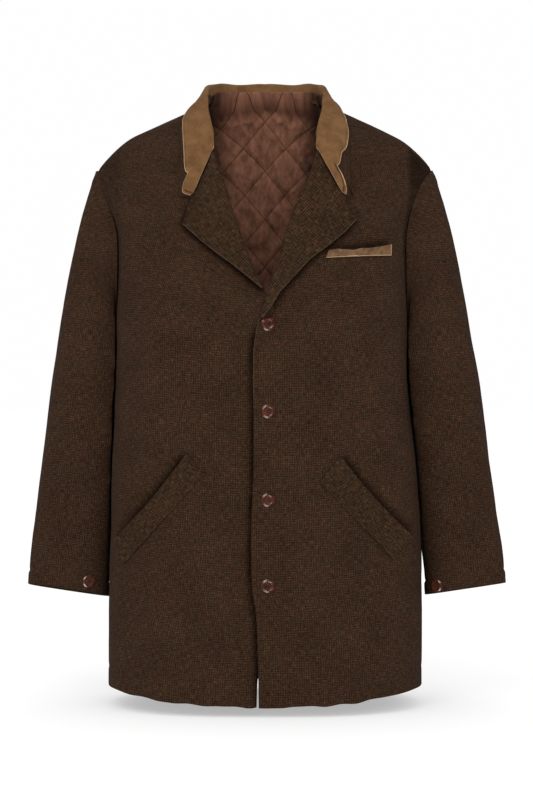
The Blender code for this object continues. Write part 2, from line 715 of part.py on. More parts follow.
# ---------------------------------------------------------------- collar and lapels
def neck_edge(side):
    """Neck edge from the middle of the back to the gorge, mirrored onto the left, and shares of its run."""
    angle = side * neck_angle(side) * np.array(NECK_COLUMNS + [1.0])
    mirror = np.array([side, 1, 1])
    back = body(1, angle, neckline_level(angle)) * mirror
    front = front_panel(side)[0][:, 0] * mirror
    gorge_z = TOP_LAPEL_ROLL[1]
    above = front[::-1][1:]
    above = above[above[:, 2] > gorge_z + GORGE_CLEAR]
    below = front[front[:, 2] <= gorge_z][-1]
    last = above[-1] + (below - above[-1]) * (gorge_z - above[-1, 2]) / (below[2] - above[-1, 2])
    corner = above[-1] + (last - above[-1]) * COLLAR_CORNER
    points = np.concatenate([back, above, [corner, last]])
    length = np.concatenate([[0], np.cumsum(np.linalg.norm(np.diff(points, axis=0), axis=1))])
    return points, length / length[-1]


def chest_field(points):
    """Less than 0 inside the chest, shoulders and shoulder blades, more outside."""
    x = points[..., 0]
    y = points[..., 1] - MID_Y
    share = (points[..., 2] - PIT_Z) / (ridge_z(x) - PIT_Z)
    share = np.clip(share, 0.01, 2.0)
    across = np.clip(np.abs(x) / half_width(x, points[..., 2], np.minimum(share, 1)), 0, 0.99)
    deep = (1 - across ** PLAN_POWER) ** (1 / PLAN_POWER)
    deep = deep * np.where(y < 0, BODY_DEPTH[-1][1], BODY_DEPTH[-1][2])
    power = np.where(y < 0, FRONT_ARCH, BACK_ARCH)
    return (share ** power + (np.abs(y) / deep) ** power) ** (1 / power) - 1


def lift_off(points, clearance, settle=False):
    """Raises points too near the chest or the shoulders. settle also lowers those that are too far."""
    step = 0.0001
    for _ in range(4):
        slopes = [(chest_field(points + d) - chest_field(points - d)) / (2 * step) for d in np.eye(3) * step]
        slope = np.stack(slopes, axis=-1)
        distance = chest_field(points) / np.linalg.norm(slope, axis=-1)
        change = clearance - distance
        points = points + unit(slope) * (change if settle else np.maximum(change, 0))[..., None]
    return points


def gorge(side):
    """Ends of the seam between the lapel and the collar, and its direction, seen from the front."""
    roll = TOP_LAPEL_ROLL if side == LEFT else UNDER_LAPEL_ROLL
    outline = TOP_LAPEL if side == LEFT else UNDER_LAPEL
    edge = TOP_FRONT_EDGE if side == LEFT else UNDER_FRONT_EDGE
    start = np.array([smooth(edge, "out", roll[1]), roll[1]])
    end = np.array(outline[-1][1:])
    return start, end, unit(end - start)


def onto_gorge(points, side):
    """Moves points sideways, as seen from the front, onto the collar's side of the gorge seam."""
    start, _end, direction = gorge(side)
    away = np.array([-direction[1], direction[0]])
    flat = np.stack([points[..., 0] * side, points[..., 2]], axis=-1)
    distance = (flat - start) @ away
    flat = flat + (GORGE_GAP / 2 - distance)[..., None] * away
    return np.stack([flat[..., 0] * side, points[..., 1], flat[..., 1]], axis=-1)


def collar_surface(side):
    """Visible side of one half of the collar, rows from the middle of the back to the gorge.

    Columns: the stand, the roll, the fall as far as the facing's edge, and last the edge of the under collar.
    The second result is the direction that the stand faces on each row.
    """
    edge, along = neck_edge(side)
    run = unit(np.gradient(edge, axis=0))
    run[0] = (1, 0, 0)
    level_in = unit(np.stack([-np.abs(run[:, 1]), -run[:, 0], np.zeros_like(along)], axis=-1))
    tilt = np.radians(smooth(COLLAR_SECTIONS, "tilt", along))
    raised = np.stack([np.zeros_like(along), -np.sin(tilt), np.cos(tilt)], axis=-1)
    lean = smooth(COLLAR_SECTIONS, "lean", along)[:, None]
    crest = edge + level_in * lean + raised * smooth(COLLAR_SECTIONS, "stand", along)[:, None]
    free = np.stack([smooth(COLLAR_SECTIONS, "edge_" + k, along) for k in "xyz"], axis=-1)
    _start, gorge_end, _direction = gorge(side)
    free[-1, 0] = gorge_end[0]
    free[-1, 2] = gorge_end[1]
    free = lift_off(free, FREE_EDGE_REST, settle=True)
    up = unit(crest - edge)
    inward = unit(np.cross(run, up))
    to_middle = edge * np.array([-1.0, -1.0, 0.0])
    facing = np.sum(inward * to_middle, axis=-1, keepdims=True)
    inward = np.where(facing < 0, -inward, inward)
    base = edge + up * STAND_GAP + inward * (SUEDE + COLLAR_SEAM + UNDER_CLOTH)
    out = -inward
    columns = [base, (base + crest) / 2]
    for turn in range(0, 181, 45):
        angle = math.radians(turn)
        columns.append(crest + ROLL_RADIUS * (out * (1 - math.cos(angle)) + up * math.sin(angle)))
    start = columns[-1]
    spring = unit(np.cross(np.gradient(crest, axis=0), free - start))
    spring = np.where(np.sum(spring * up, axis=-1, keepdims=True) < 0, -spring, spring)
    height = 4 * smooth(COLLAR_SECTIONS, "spring", along)[:, None]
    reach = smooth(FACING_EDGE, "left" if side == LEFT else "right", along)
    shares = [reach * k / COLLAR_STEPS for k in range(1, COLLAR_STEPS + 1)]
    for t in shares + [np.ones_like(reach)]:
        t = t[:, None]
        point = start + (free - start) * t + spring * height * t * (1 - t)
        columns.append(lift_off(point, COLLAR_REST + (FREE_EDGE_REST - COLLAR_REST) * t[:, 0]))
    surface = np.stack(columns, axis=1)
    mirror = np.array([side, 1, 1])
    return surface * mirror, inward * mirror


def halfway(grid, axis):
    """Direction of a grid along one axis at each point, halfway between the runs before and after it."""
    runs = unit(np.diff(grid, axis=axis))
    first = np.take(runs, [0], axis=axis)
    last = np.take(runs, [-1], axis=axis)
    return unit(np.concatenate([first, runs], axis=axis) + np.concatenate([runs, last], axis=axis))


def grid_normals(grid):
    return unit(np.cross(halfway(grid, 1), halfway(grid, 0)))


def make_collar(suede, tweed):
    right, right_facing = collar_surface(RIGHT)
    left, left_facing = collar_surface(LEFT)
    surface = np.concatenate([right[::-1], left[1:]])
    normal = grid_normals(surface)
    middle = len(surface) // 2
    if normal[middle, -2, 2] < 0:
        normal = -normal
    normal[:, 0] = np.concatenate([right_facing[::-1], left_facing[1:]])
    layers = []
    for depth in (0.0, SUEDE, SUEDE + COLLAR_SEAM, SUEDE + COLLAR_SEAM + UNDER_CLOTH):
        layer = surface - normal * depth
        layer[0] = onto_gorge(layer[0], RIGHT)
        layer[-1] = onto_gorge(layer[-1], LEFT)
        layers.append(layer)
    wall("collar_facing", layers[0][:, :-1], layers[1][:, :-1], suede)
    wall("under_collar", layers[2], layers[3], tweed)


def make_lapel(side, finish):
    """Lapel: straight lines from the roll line to its outline, just above the front, raised at the fold."""
    outline = TOP_LAPEL if side == LEFT else UNDER_LAPEL
    roll = TOP_LAPEL_ROLL if side == LEFT else UNDER_LAPEL_ROLL
    edge = TOP_FRONT_EDGE if side == LEFT else UNDER_FRONT_EDGE
    shares = np.array([row[0] for row in outline[1:]])
    roll_z = roll[0] + (roll[1] - roll[0]) * shares
    roll_out = smooth(edge, "out", roll_z)
    across = np.linspace(0, 1, LAPEL_COLUMNS + 1)[None, :] ** LAPEL_CROWDING
    out = roll_out[:, None] * (1 - across) + straight(outline, "out", shares)[:, None] * across
    z = roll_z[:, None] * (1 - across) + straight(outline, "height", shares)[:, None] * across
    distance = np.hypot(out - roll_out[:, None], z - roll_z[:, None]) / ROLL_REACH
    lift = LAPEL_REST + ROLL_LIFT * distance * np.exp(1 - distance)
    _start, _end, direction = gorge(side)
    away = np.array([-direction[1], direction[0]])
    out[-1] -= away[0] * GORGE_GAP / 2
    z[-1] -= away[1] * GORGE_GAP / 2
    outer, _normal = on_front(side, out * side, z, lift + LAPEL_CLOTH)
    inner, _normal = on_front(side, out * side, z, lift)
    wall(f"lapel_{NAMES[side]}", outer, inner, finish)


# ---------------------------------------------------------------- body and sleeves
def make_front(side, finish):
    outer, normal = front_panel(side)
    for edge in ("last", "top"):
        pull_back(outer, edge, PANEL_TRIM)
    wall(f"front_{NAMES[side]}", outer, outer - normal * CLOTH, finish)


def make_back(finish):
    outer, normal = back_panel()
    for edge in ("first", "last", "top"):
        pull_back(outer, edge, PANEL_TRIM)
    wall("back", outer, outer - normal * CLOTH, finish)


def make_sleeve(side, finish):
    outer, inner = sleeve(side)
    wall(f"sleeve_{NAMES[side]}", outer, inner, finish, closed=True)


def make_lining(finish):
    """Quilted lining of the back: its visible side swells between diagonal lines of stitching."""
    step_angle = np.linspace(0, 90, 200)
    arc = body(1, step_angle, 0.0)
    length = np.concatenate([[0], np.cumsum(np.linalg.norm(np.diff(arc, axis=0), axis=1))])
    column = np.arange(-QUILT_HALF_COLUMNS, QUILT_HALF_COLUMNS + 1)
    angle = np.interp(np.abs(column) * QUILT_STEP_X, length, step_angle) * np.sign(column)
    row = np.arange(QUILT_ROWS)
    z = np.append(QUILT_TOP_Z - QUILT_STEP_Z * row[::-1], LINING_NECK_Z)
    top_level = np.minimum(LINING_TOP_LEVEL, neckline_level(angle) - LINING_NECK_GAP)
    top_z = body(1, angle, top_level)[:, 2]
    fit = (top_z - QUILT_FIT_Z) / (LINING_NECK_Z - QUILT_FIT_Z)
    above = np.maximum(z - QUILT_FIT_Z, 0)[:, None]
    z = z[:, None] + above * (fit[None, :] - 1)
    level = level_at(1, angle[None, :], z)
    angle = np.broadcast_to(angle, level.shape)
    surface = body(1, angle, level)
    normal = body_normal(1, angle, level)
    from_top = np.append(row[::-1], -1)
    raised = (from_top[:, None] + column[None, :]) % 2 == 1
    plain = surface - normal * (CLOTH + LINING_REST)
    quilted = plain - normal * (LINING + QUILT_PUFF * raised)[..., None]
    wall("lining_back", quilted, plain, finish, raised=raised)


# ---------------------------------------------------------------- welts and buttons
def make_welt(name, side, corners, sag, size, finish):
    """Pocket welt: a strip between its opening edge, which sags, and its seam."""
    spot = {row[0]: np.array(row[1:]) for row in corners[1:]}
    ends = list(spot.values())
    along = np.linspace(0, 1, size[0] + 1)[:, None]
    opening = ends[0] * (1 - along) + ends[1] * along
    opening[:, 1] -= sag * 4 * along[:, 0] * (1 - along[:, 0])
    seam = ends[2] * (1 - along) + ends[3] * along
    across = np.linspace(0, 1, size[1] + 1)[None, :, None]
    flat = opening[:, None] * (1 - across) + seam[:, None] * across
    outer, _normal = on_front(side, flat[..., 0] * side, flat[..., 1], WELT_REST + WELT)
    inner, _normal = on_front(side, flat[..., 0] * side, flat[..., 1], WELT_REST)
    wall(name, outer, inner, finish)


def sleeve_place(side, out, z):
    """Point on the front of a sleeve that is seen at this distance out and height, and its direction."""
    axis_z = z
    for _ in range(8):
        wide = smooth(SLEEVE_SECTIONS, "wide", axis_z)
        power = smooth(SLEEVE_SECTIONS, "power", axis_z)
        reach = smooth(SLEEVE_SECTIONS, NAMES[side], axis_z)
        share = (out - reach) / (wide * math.cos(SLEEVE_TILT)) + 1
        turn = math.degrees(math.atan2((1 - abs(share) ** power) ** (1 / power), share))
        point = arm_ring(side, np.array([axis_z]), np.array([turn]))[0]
        axis_z = axis_z + z - point[2]
    around = arm_ring(side, np.array([axis_z]), np.array([turn + 1]))[0] - point
    down = arm_ring(side, np.array([axis_z - 0.005]), np.array([turn]))[0] - point
    normal = unit(np.cross(around, down))
    return point, normal if normal[1] < 0 else -normal


def make_button(name, point, normal, finish):
    """Four-hole button's solid: a turned disc with a raised rim."""
    profile = [
        (0.0000, 0.0022),
        (0.0055, 0.0022),
        (0.0065, 0.0030),
        (0.0088, BUTTON_THICKNESS),
        (BUTTON_RADIUS, 0.0024),
        (0.0095, 0.0008),
        (0.0060, 0.0000),
        (0.0000, 0.0000),
    ]
    mesh = bpy.data.meshes.new(name)
    edges = [(k, k + 1) for k in range(len(profile) - 1)]
    mesh.from_pydata([(radius, 0.0, height) for radius, height in profile], edges, [])
    made = add_object(name, mesh, finish)
    turning = made.modifiers.new("turning", "SCREW")
    turning.steps = BUTTON_SIDES
    turning.render_steps = BUTTON_SIDES
    turning.use_merge_vertices = True
    turning.merge_threshold = 0.00001
    turning.use_smooth_shade = True
    made.location = point
    made.rotation_euler = Vector(normal).to_track_quat("Z", "Y").to_euler()


def make_buttons(finish):
    for number, z in enumerate(FRONT_BUTTON_Z, start=1):
        point, normal = on_front(LEFT, FRONT_BUTTON_X, z, 0.0)
        make_button(f"button_front_{number}", point + normal * BUTTON_REST, normal, finish)
    for side, (out, z, rest) in CUFF_BUTTON.items():
        point, normal = sleeve_place(side, out, z)
        make_button(f"button_cuff_{NAMES[side]}", point + normal * rest, normal, finish)


def main():
    for old in list(bpy.data.objects):
        bpy.data.objects.remove(old)
    collection = bpy.data.collections.new("overcoat")
    bpy.context.scene.collection.children.link(collection)
    tweed = material("tweed", (0.038, 0.021, 0.012), 0.95)
    lapel_tweed = material("lapel_tweed", (0.042, 0.023, 0.013), 0.95)
    suede = material("suede", (0.19, 0.098, 0.040), 0.90)
    satin = material("satin", (0.091, 0.041, 0.024), 0.45)
    horn = material("horn", (0.078, 0.030, 0.018), 0.25)
    for side in (LEFT, RIGHT):
        make_front(side, tweed)
        make_sleeve(side, tweed)
        make_lapel(side, lapel_tweed)
        make_welt(f"hip_welt_{NAMES[side]}", side, HIP_WELT[side], HIP_WELT_SAG, HIP_WELT_GRID, lapel_tweed)
    make_back(tweed)
    make_collar(suede, tweed)
    make_lining(satin)
    make_welt("breast_welt", LEFT, BREAST_WELT, BREAST_WELT_SAG, BREAST_WELT_GRID, suede)
    make_buttons(horn)


main()
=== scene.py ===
"""Looks of the three-quarter-length tweed overcoat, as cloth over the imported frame.

Metres, +Z up, the front faces -Y, +X is the wearer's left, and left and right are the wearer's. Each cloth
piece is a thin shell on its solid's form, worked out from the same sizes in finer steps, with creases, seams
and stitching added.
"""
import math

import bmesh
import bpy
import numpy as np
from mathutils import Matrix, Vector


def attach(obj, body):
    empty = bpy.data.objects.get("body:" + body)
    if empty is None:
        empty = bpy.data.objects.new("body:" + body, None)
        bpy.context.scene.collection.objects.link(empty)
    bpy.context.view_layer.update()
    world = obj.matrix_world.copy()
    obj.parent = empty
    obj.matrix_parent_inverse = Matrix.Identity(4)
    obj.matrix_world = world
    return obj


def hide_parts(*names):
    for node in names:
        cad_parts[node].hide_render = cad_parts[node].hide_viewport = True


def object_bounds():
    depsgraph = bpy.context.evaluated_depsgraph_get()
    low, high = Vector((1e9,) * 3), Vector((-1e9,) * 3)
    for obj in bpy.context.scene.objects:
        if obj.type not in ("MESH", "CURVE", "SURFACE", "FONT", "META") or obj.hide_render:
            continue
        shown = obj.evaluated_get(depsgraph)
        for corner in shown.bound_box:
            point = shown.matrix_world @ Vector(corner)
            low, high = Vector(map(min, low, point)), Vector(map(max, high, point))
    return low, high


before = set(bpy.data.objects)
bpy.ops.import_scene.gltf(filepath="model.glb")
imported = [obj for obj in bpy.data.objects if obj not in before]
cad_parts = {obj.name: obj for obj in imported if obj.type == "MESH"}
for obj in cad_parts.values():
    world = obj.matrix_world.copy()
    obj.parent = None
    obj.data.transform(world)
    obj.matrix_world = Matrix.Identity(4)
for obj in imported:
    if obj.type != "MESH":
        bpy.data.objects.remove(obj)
frame_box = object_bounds()

# ---------------------------------------------------------------- driving sizes (metres)
LEFT = 1
RIGHT = -1
NAMES = {LEFT: "left", RIGHT: "right"}

PIT_Z = -0.355            # bottom of the armholes
SIDE_HEM_Z = -0.874       # hem at the side seams
HEM_DIP = 0.0165          # the hem hangs lower in the middle of the front and back
HEM_DIP_POWER = 4         # and how late it falls there
MID_Y = 0.010             # depth of the side seams and of the shoulder ridge
PLAN_POWER = 2.6          # roundness of the body seen from above
FRONT_ARCH = 2.0          # roundness of the chest below the shoulder ridge, seen from the side
BACK_ARCH = 3.4           # the same for the squarer shoulder blades

NECK_X = 0.097            # the shoulder seam starts here, at the side of the neck
NECK_TOP_Z = -0.010       # height of the shoulder ridge there
BACK_NECK_Y = 0.067       # depth of the neckline at the middle of the back
NECKLINE_POWER = 2.4      # roundness of the back neckline, seen from above
SHOULDER_SLOPE = 0.45     # fall of the ridge for each metre outwards
RIDGE_ROUND = 0.030       # the ridge rounds over in the middle
SHOULDER_ROUND_X = 0.190  # outside this the ridge also curves down
SHOULDER_ROUND = 6.63     # curvature of that stretch, per metre
SEAM_NECK_LEVEL = 0.76    # the shoulder seam lies in front of the ridge (level 1) at the neck
SEAM_TIP_LEVEL = 0.96     # and almost on it at the tip of the shoulder
TOP_EDGE_BEND = 3         # how late the back's rows bend to follow its top edge

CLOTH = 0.0025            # tweed
SUEDE = 0.0015
UNDER_CLOTH = 0.0020      # under collar
LAPEL_CLOTH = 0.0030      # facing and turning together
LINING = 0.0020
WELT = 0.0018
SLEEVE_START = 0.00045    # the sleeves start this far from the armhole's edge

# half width of the body at the side seams: height, wearer's right, wearer's left
BODY_WIDTH = [
    ("height", "right", "left"),
    (-0.900, 0.2345, 0.2345),
    (-0.717, 0.2340, 0.2350),
    (-0.626, 0.2310, 0.2318),
    (-0.560, 0.2288, 0.2270),
    (-0.480, 0.2255, 0.2190),
    (-0.390, 0.2223, 0.2125),
    (-0.355, 0.2222, 0.2123),
]

# the same up the armhole: share of the height from the pit to the ridge, wearer's right, wearer's left
ARMHOLE_WIDTH = [
    ("share", "right", "left"),
    (0.00, 0.2222, 0.2123),
    (0.26, 0.2220, 0.2125),
    (0.50, 0.2242, 0.2145),
    (0.60, 0.2290, 0.2190),
    (0.70, 0.2370, 0.2260),
    (0.80, 0.2450, 0.2350),
    (0.93, 0.2525, 0.2475),
    (1.00, 0.2550, 0.2545),
]

# half depth of the body: height, front, back
BODY_DEPTH = [
    ("height", "front", "back"),
    (-0.900, 0.150, 0.148),
    (-0.600, 0.144, 0.138),
    (-0.355, 0.140, 0.134),
]

# where the panels end at the armhole: share of the way from the pit to the seam, angle from the middle
ARMHOLE_EDGE = [
    ("share", "angle"),
    (0.00, 90.0),
    (0.08, 83.0),
    (0.20, 76.0),
    (0.35, 72.0),
    (0.50, 72.0),
    (0.65, 73.0),
    (0.80, 74.5),
    (1.00, 77.0),
]

# inner edge of each front from the neck down to the hem: height, distance from the middle to its own side
TOP_FRONT_EDGE = [
    ("height", "out"),
    (-0.012, 0.0970),
    (-0.030, 0.0940),
    (-0.055, 0.0880),
    (-0.084, 0.0765),
    (-0.138, 0.0595),
    (-0.175, 0.0410),
    (-0.219, 0.0264),
    (-0.257, 0.0158),
    (-0.288, 0.0055),
    (-0.318, -0.0035),
    (-0.345, -0.0118),
    (-0.391, -0.0172),
    (-0.530, -0.0162),
    (-0.654, -0.0200),
    (-0.717, -0.0186),
    (-0.764, -0.0122),
    (-0.823, -0.0100),
    (-0.900, -0.0086),
]
UNDER_FRONT_EDGE = [
    ("height", "out"),
    (-0.012, 0.0970),
    (-0.030, 0.0940),
    (-0.055, 0.0880),
    (-0.084, 0.0760),
    (-0.138, 0.0580),
    (-0.197, 0.0390),
    (-0.252, 0.0187),
    (-0.294, -0.0014),
    (-0.330, -0.0180),
    (-0.352, -0.0250),
    (-0.600, -0.0240),
    (-0.716, -0.0140),
    (-0.790, 0.0000),
    (-0.857, 0.0108),
    (-0.900, 0.0122),
]
FRONT_EDGE = {LEFT: TOP_FRONT_EDGE, RIGHT: UNDER_FRONT_EDGE}
UNDER_DROP = CLOTH + 0.0008     # how far the under front lies inside the top one
UNDER_DROP_FROM = 0.060         # distance from the middle where it starts to sink
UNDER_DROP_TO = 0.022           # and where it has sunk all the way

# arm of the sleeve: height of its axis, outer reach on the right and left, half width, half depth, depth of
# the axis, squareness
SLEEVE_SECTIONS = [
    ("height", "right", "left", "wide", "deep", "depth", "power"),
    (-0.375, 0.3145, 0.3140, 0.0660, 0.064, 0.032, 2.2),
    (-0.435, 0.3235, 0.3245, 0.0645, 0.062, 0.031, 2.2),
    (-0.525, 0.3335, 0.3365, 0.0625, 0.058, 0.029, 2.3),
    (-0.616, 0.3440, 0.3480, 0.0610, 0.052, 0.024, 2.5),
    (-0.706, 0.3545, 0.3605, 0.0600, 0.045, 0.018, 2.7),
    (-0.7303, 0.3560, 0.3620, 0.0600, 0.043, 0.016, 2.8),
]
SLEEVE_TILT = math.radians(8.5)   # the arms hang a little outwards
CUFF_DROP = {RIGHT: 0.012, LEFT: 0.008}   # how much lower the back of the cuff hangs than its front
CUFF_DROP_FROM = -0.650
ARM_GAP = 0.003                   # between the sleeve and the body that it hangs against

# direction in which the sleeve leaves the armhole: angle round it from the top, out, back, up, length
CAP_TANGENT = [
    ("angle", "out", "back", "up", "length"),
    (0.0, 0.36, 0.00, -0.93, 0.260),
    (45.0, 0.60, 0.05, -0.79, 0.200),
    (90.0, 0.80, 0.12, -0.58, 0.110),
    (140.0, 0.70, 0.05, -0.70, 0.045),
    (180.0, 0.35, 0.00, -0.94, 0.030),
]

# collar, by the share of the neck edge from the middle of the back to the gorge: how far the roll leans
# inwards from the neck edge, its height above it, its tilt forward in degrees, the spring of the fall
# between the roll and the free edge, and the free edge
COLLAR_SECTIONS = [
    ("along", "lean", "stand", "tilt", "spring", "edge_x", "edge_y", "edge_z"),
    (0.00, 0.0010, 0.0140, 0.0, 0.0060, 0.0000, 0.114, -0.030),
    (0.17, 0.0000, 0.0190, 0.0, 0.0060, 0.0520, 0.110, -0.032),
    (0.32, 0.0020, 0.0255, 0.0, 0.0030, 0.0830, 0.087, -0.033),
    (0.43, 0.0048, 0.0250, 0.0, 0.0010, 0.0930, 0.045, -0.020),
    (0.56, 0.0078, 0.0180, 12.0, 0.0010, 0.1010, 0.005, -0.014),
    (0.72, 0.0090, 0.0105, 38.0, 0.0050, 0.1270, -0.050, -0.052),
    (0.80, 0.0095, 0.0095, 50.0, 0.0060, 0.1265, -0.070, -0.076),
    (0.89, 0.0090, 0.0095, 58.0, 0.0060, 0.1260, -0.086, -0.112),
    (0.96, 0.0055, 0.0100, 63.0, 0.0060, 0.1270, -0.096, -0.154),
    (1.00, 0.0035, 0.0100, 65.0, 0.0060, 0.1080, -0.100, -0.157),
]

# lapels: share of the way up the roll line, outline beside it (distance out from the middle, height)
TOP_LAPEL_ROLL = (-0.331, -0.084)       # heights where the roll line starts and ends
TOP_LAPEL = [
    ("share", "out", "height"),
    (0.00, -0.0030, -0.3325),
    (0.08, 0.0100, -0.3157),
    (0.20, 0.0216, -0.2955),
    (0.30, 0.0360, -0.2796),
    (0.40, 0.0506, -0.2636),
    (0.50, 0.0650, -0.2478),
    (0.65, 0.0939, -0.2260),
    (0.78, 0.1156, -0.2073),
    (0.88, 0.1320, -0.1893),
    (0.94, 0.1235, -0.1715),
    (1.00, 0.1150, -0.1545),
]
UNDER_LAPEL_ROLL = (-0.286, -0.084)
UNDER_LAPEL = [
    ("share", "out", "height"),
    (0.00, 0.0045, -0.2905),
    (0.12, 0.0237, -0.2745),
    (0.28, 0.0460, -0.2564),
    (0.44, 0.0679, -0.2405),
    (0.62, 0.0930, -0.2200),
    (0.80, 0.1180, -0.1972),
    (0.90, 0.1115, -0.1765),
    (1.00, 0.1060, -0.1560),
]
LAPEL = {LEFT: TOP_LAPEL, RIGHT: UNDER_LAPEL}
LAPEL_ROLL = {LEFT: TOP_LAPEL_ROLL, RIGHT: UNDER_LAPEL_ROLL}
LAPEL_REST = 0.0006       # between the lapel's free edge and the front under it
ROLL_LIFT = 0.0045        # the rolled fold stands this much higher
ROLL_REACH = 0.008        # at this distance from the fold
GORGE_GAP = 0.0006        # between the lapel and the collar

STAND_GAP = 0.0016        # between the neck edge and the stand
COLLAR_SEAM = 0.0004      # between the facing and the under collar
ROLL_RADIUS = 0.0047
COLLAR_REST = 0.0085      # least distance from the body to the collar's upper side
FREE_EDGE_REST = 0.0068   # and the distance at the free edge
MIRROR = (-1, 1, 1)

HIP_WELT = {
    LEFT: [
        ("corner", "out", "height"),
        ("opening, upper end", 0.1085, -0.5304),
        ("opening, lower end", 0.2180, -0.6490),
        ("seam, upper end", 0.0787, -0.5673),
        ("seam, lower end", 0.1895, -0.6835),
    ],
    RIGHT: [
        ("corner", "out", "height"),
        ("opening, upper end", 0.1124, -0.5260),
        ("opening, lower end", 0.2220, -0.6530),
        ("seam, upper end", 0.0877, -0.5573),
        ("seam, lower end", 0.2080, -0.6900),
    ],
}
HIP_WELT_SAG = 0.006      # the opening edge sags in its middle
BREAST_WELT = [
    ("corner", "out", "height"),
    ("opening, inner end", 0.0926, -0.2335),
    ("opening, outer end", 0.1850, -0.2226),
    ("seam, inner end", 0.0880, -0.2450),
    ("seam, outer end", 0.1850, -0.2387),
]
BREAST_WELT_SAG = 0.003
WELT_REST = 0.0010        # between a welt and the front under it

FRONT_BUTTONS = 4

# quilted lining: the diamonds are two steps wide and two steps tall
QUILT_STEP_X = 0.030
QUILT_STEP_Z = 0.0375
QUILT_HALF_COLUMNS = 7
QUILT_ROWS = 23
QUILT_TOP_Z = -0.017      # the highest crossing of the stitching, in the middle of the back
LINING_NECK_Z = 0.013     # top of the lining in the middle
QUILT_FIT_Z = -0.130      # above this the rows close up to follow the neckline and the shoulders
LINING_REST = 0.0021      # between the back and its lining
LINING_TOP_LEVEL = 0.94   # it ends this near the shoulder ridge
LINING_NECK_GAP = 0.012   # and this far below the neckline, as a level

# both pocket welts' corners and sags, and how deep the painted shade on the front is beside their openings
WELTS = {
    LEFT: [(HIP_WELT[LEFT], HIP_WELT_SAG, 0.95), (BREAST_WELT, BREAST_WELT_SAG, 0.6)],
    RIGHT: [(HIP_WELT[RIGHT], HIP_WELT_SAG, 0.95)],
}

# ---------------------------------------------------------------- finer steps of the cloth (metres)
PANEL_STEP = 0.0033
BACK_STEP = 0.0040
SLEEVE_STEP = 0.0040
WELT_STEP = 0.0020
LAPEL_STEP = 0.0018
LINING_STEP = 0.0024
FALL_STEP = 0.0018
EDGE_STEPS = [0.0, 0.0003, 0.0008, 0.0016, 0.0028]
EDGE_CLEAR = 1.4          # the even steps start at this many times the last of the edge's
FRONT_ARC = 0.26          # rough lengths of the runs that the steps divide
SIDE_ARC = 0.17
NECK_ARC = 0.10
CAP_LENGTH = 0.13
FALL_LENGTH = 0.040
LAPEL_WIDTH = 0.090
ARMHOLE_STEPS = 48
CAP_CLEAR = 2.7           # how fast the sleeve comes clear of the body below its seam
ARM_STEP = 0.01           # length along the arm that gives its direction
SEAM_ALIKE = (0.4, 0.3)   # where sleeve and panel face alike by this much or more, they share a direction
NORMAL_TURN = 0.4         # degrees and levels on each side of a place that give its direction
NORMAL_LEVEL = 0.003
FIELD_STEP = 0.0001
FRONT_ROUNDS = 10         # rounds in which places are found: on the fronts, on a level or an edge, on the
LEVEL_ROUNDS = 6          # neckline, and above the chest
NECKLINE_ROUNDS = 30
LIFT_ROUNDS = 4
EDGE_GUESS = 5.0          # where the search for a front's edge starts, in degrees
CHEST_SHARES = (0.01, 2.0)
NEARLY_WIDE = 0.99
NEARLY_SIDE = 0.9995      # keeps places on the body's round clear of its sides
NEARLY_TOP = 0.98         # and of the shoulder ridge
NECK_STEPS = 80
NECK_FRONT_STEPS = 120
COLLAR_ROWS = 101
TIP_FROM = 0.88           # the collar's rows lie closer together from here to its tips
TIP_ROWS = 49
COLLAR_CORNER_AT = 0.93   # from here the collar is drawn onto the gorge
STAND_STEPS = 7
ROLL_STEPS = 9
UNDER_STEPS = 4
LAPEL_ROWS = 61

# ---------------------------------------------------------------- relief (metres)
NOISE_CELLS = 64
SEEDS = {
    "front": 10, "front hem": 20, "front hem wave": 25, "shade": 27, "back hem wave": 28, "back": 30,
    "back hem": 33, "sleeve": 40, "collar": 50, "lapel": 60, "welt": 70, "welt wave": 75,
    "narrow fold": 82, "wide fold": 83,
}
# worn tweed: size and height of its bumps, and where each layer of them starts
UNEVEN = [
    (0.110, 0.0011, 0.0, 0.0),
    (0.045, 0.0005, 0.3, 0.0),
    (0.016, 0.00018, 0.0, 0.7),
]
COLLAR_UNEVEN = (0.030, 0.0006)   # size and height of the bumps of the smaller pieces
LAPEL_UNEVEN = (0.035, 0.0006)
WELT_UNEVEN = (0.020, 0.0004)
CALM_REACH = 0.02         # the relief dies down over this length beside the front's edge and the armhole
FRONT_CALM = 0.3          # to this share
SLEEVE_CALM = 0.4
CREASE_FADE = 0.30
CREASE_TURN = 0.55        # a ridge has a weaker trough beside it
CREASE_SHIFT = 1.5
CREASE_TURN_SCALE = 1000.0
SEAM_DIP = 0.0012         # the cloth is drawn in at a seam
SEAM_WIDTH = 0.0035
SLEEVE_SEAM_WIDTH = 0.0040
PIT_FADE = 0.05           # the marks of the armhole fade over this height above the pit

HEM_TURN_UP = 0.028
HEM_DRAWN = 0.0007        # the line of sewing above the hem is drawn in
HEM_DRAWN_WIDTH = 0.0035
HEM_DRAWN_UNEVEN = 0.6
PUCKER = 0.0005           # with puckers below it
PUCKER_SIZE = 0.014
PUCKER_LONG = 0.4         # which run up and down
HEM_WAVE = 0.0016         # the hem waves up and down
HEM_WAVE_LENGTH = 0.022
HEM_WAVE_REACH = 0.030
HEM_FACING = 0.045        # width of the tweed inside the edges of the panels
CUFF_FACING = 0.040       # and inside the cuffs

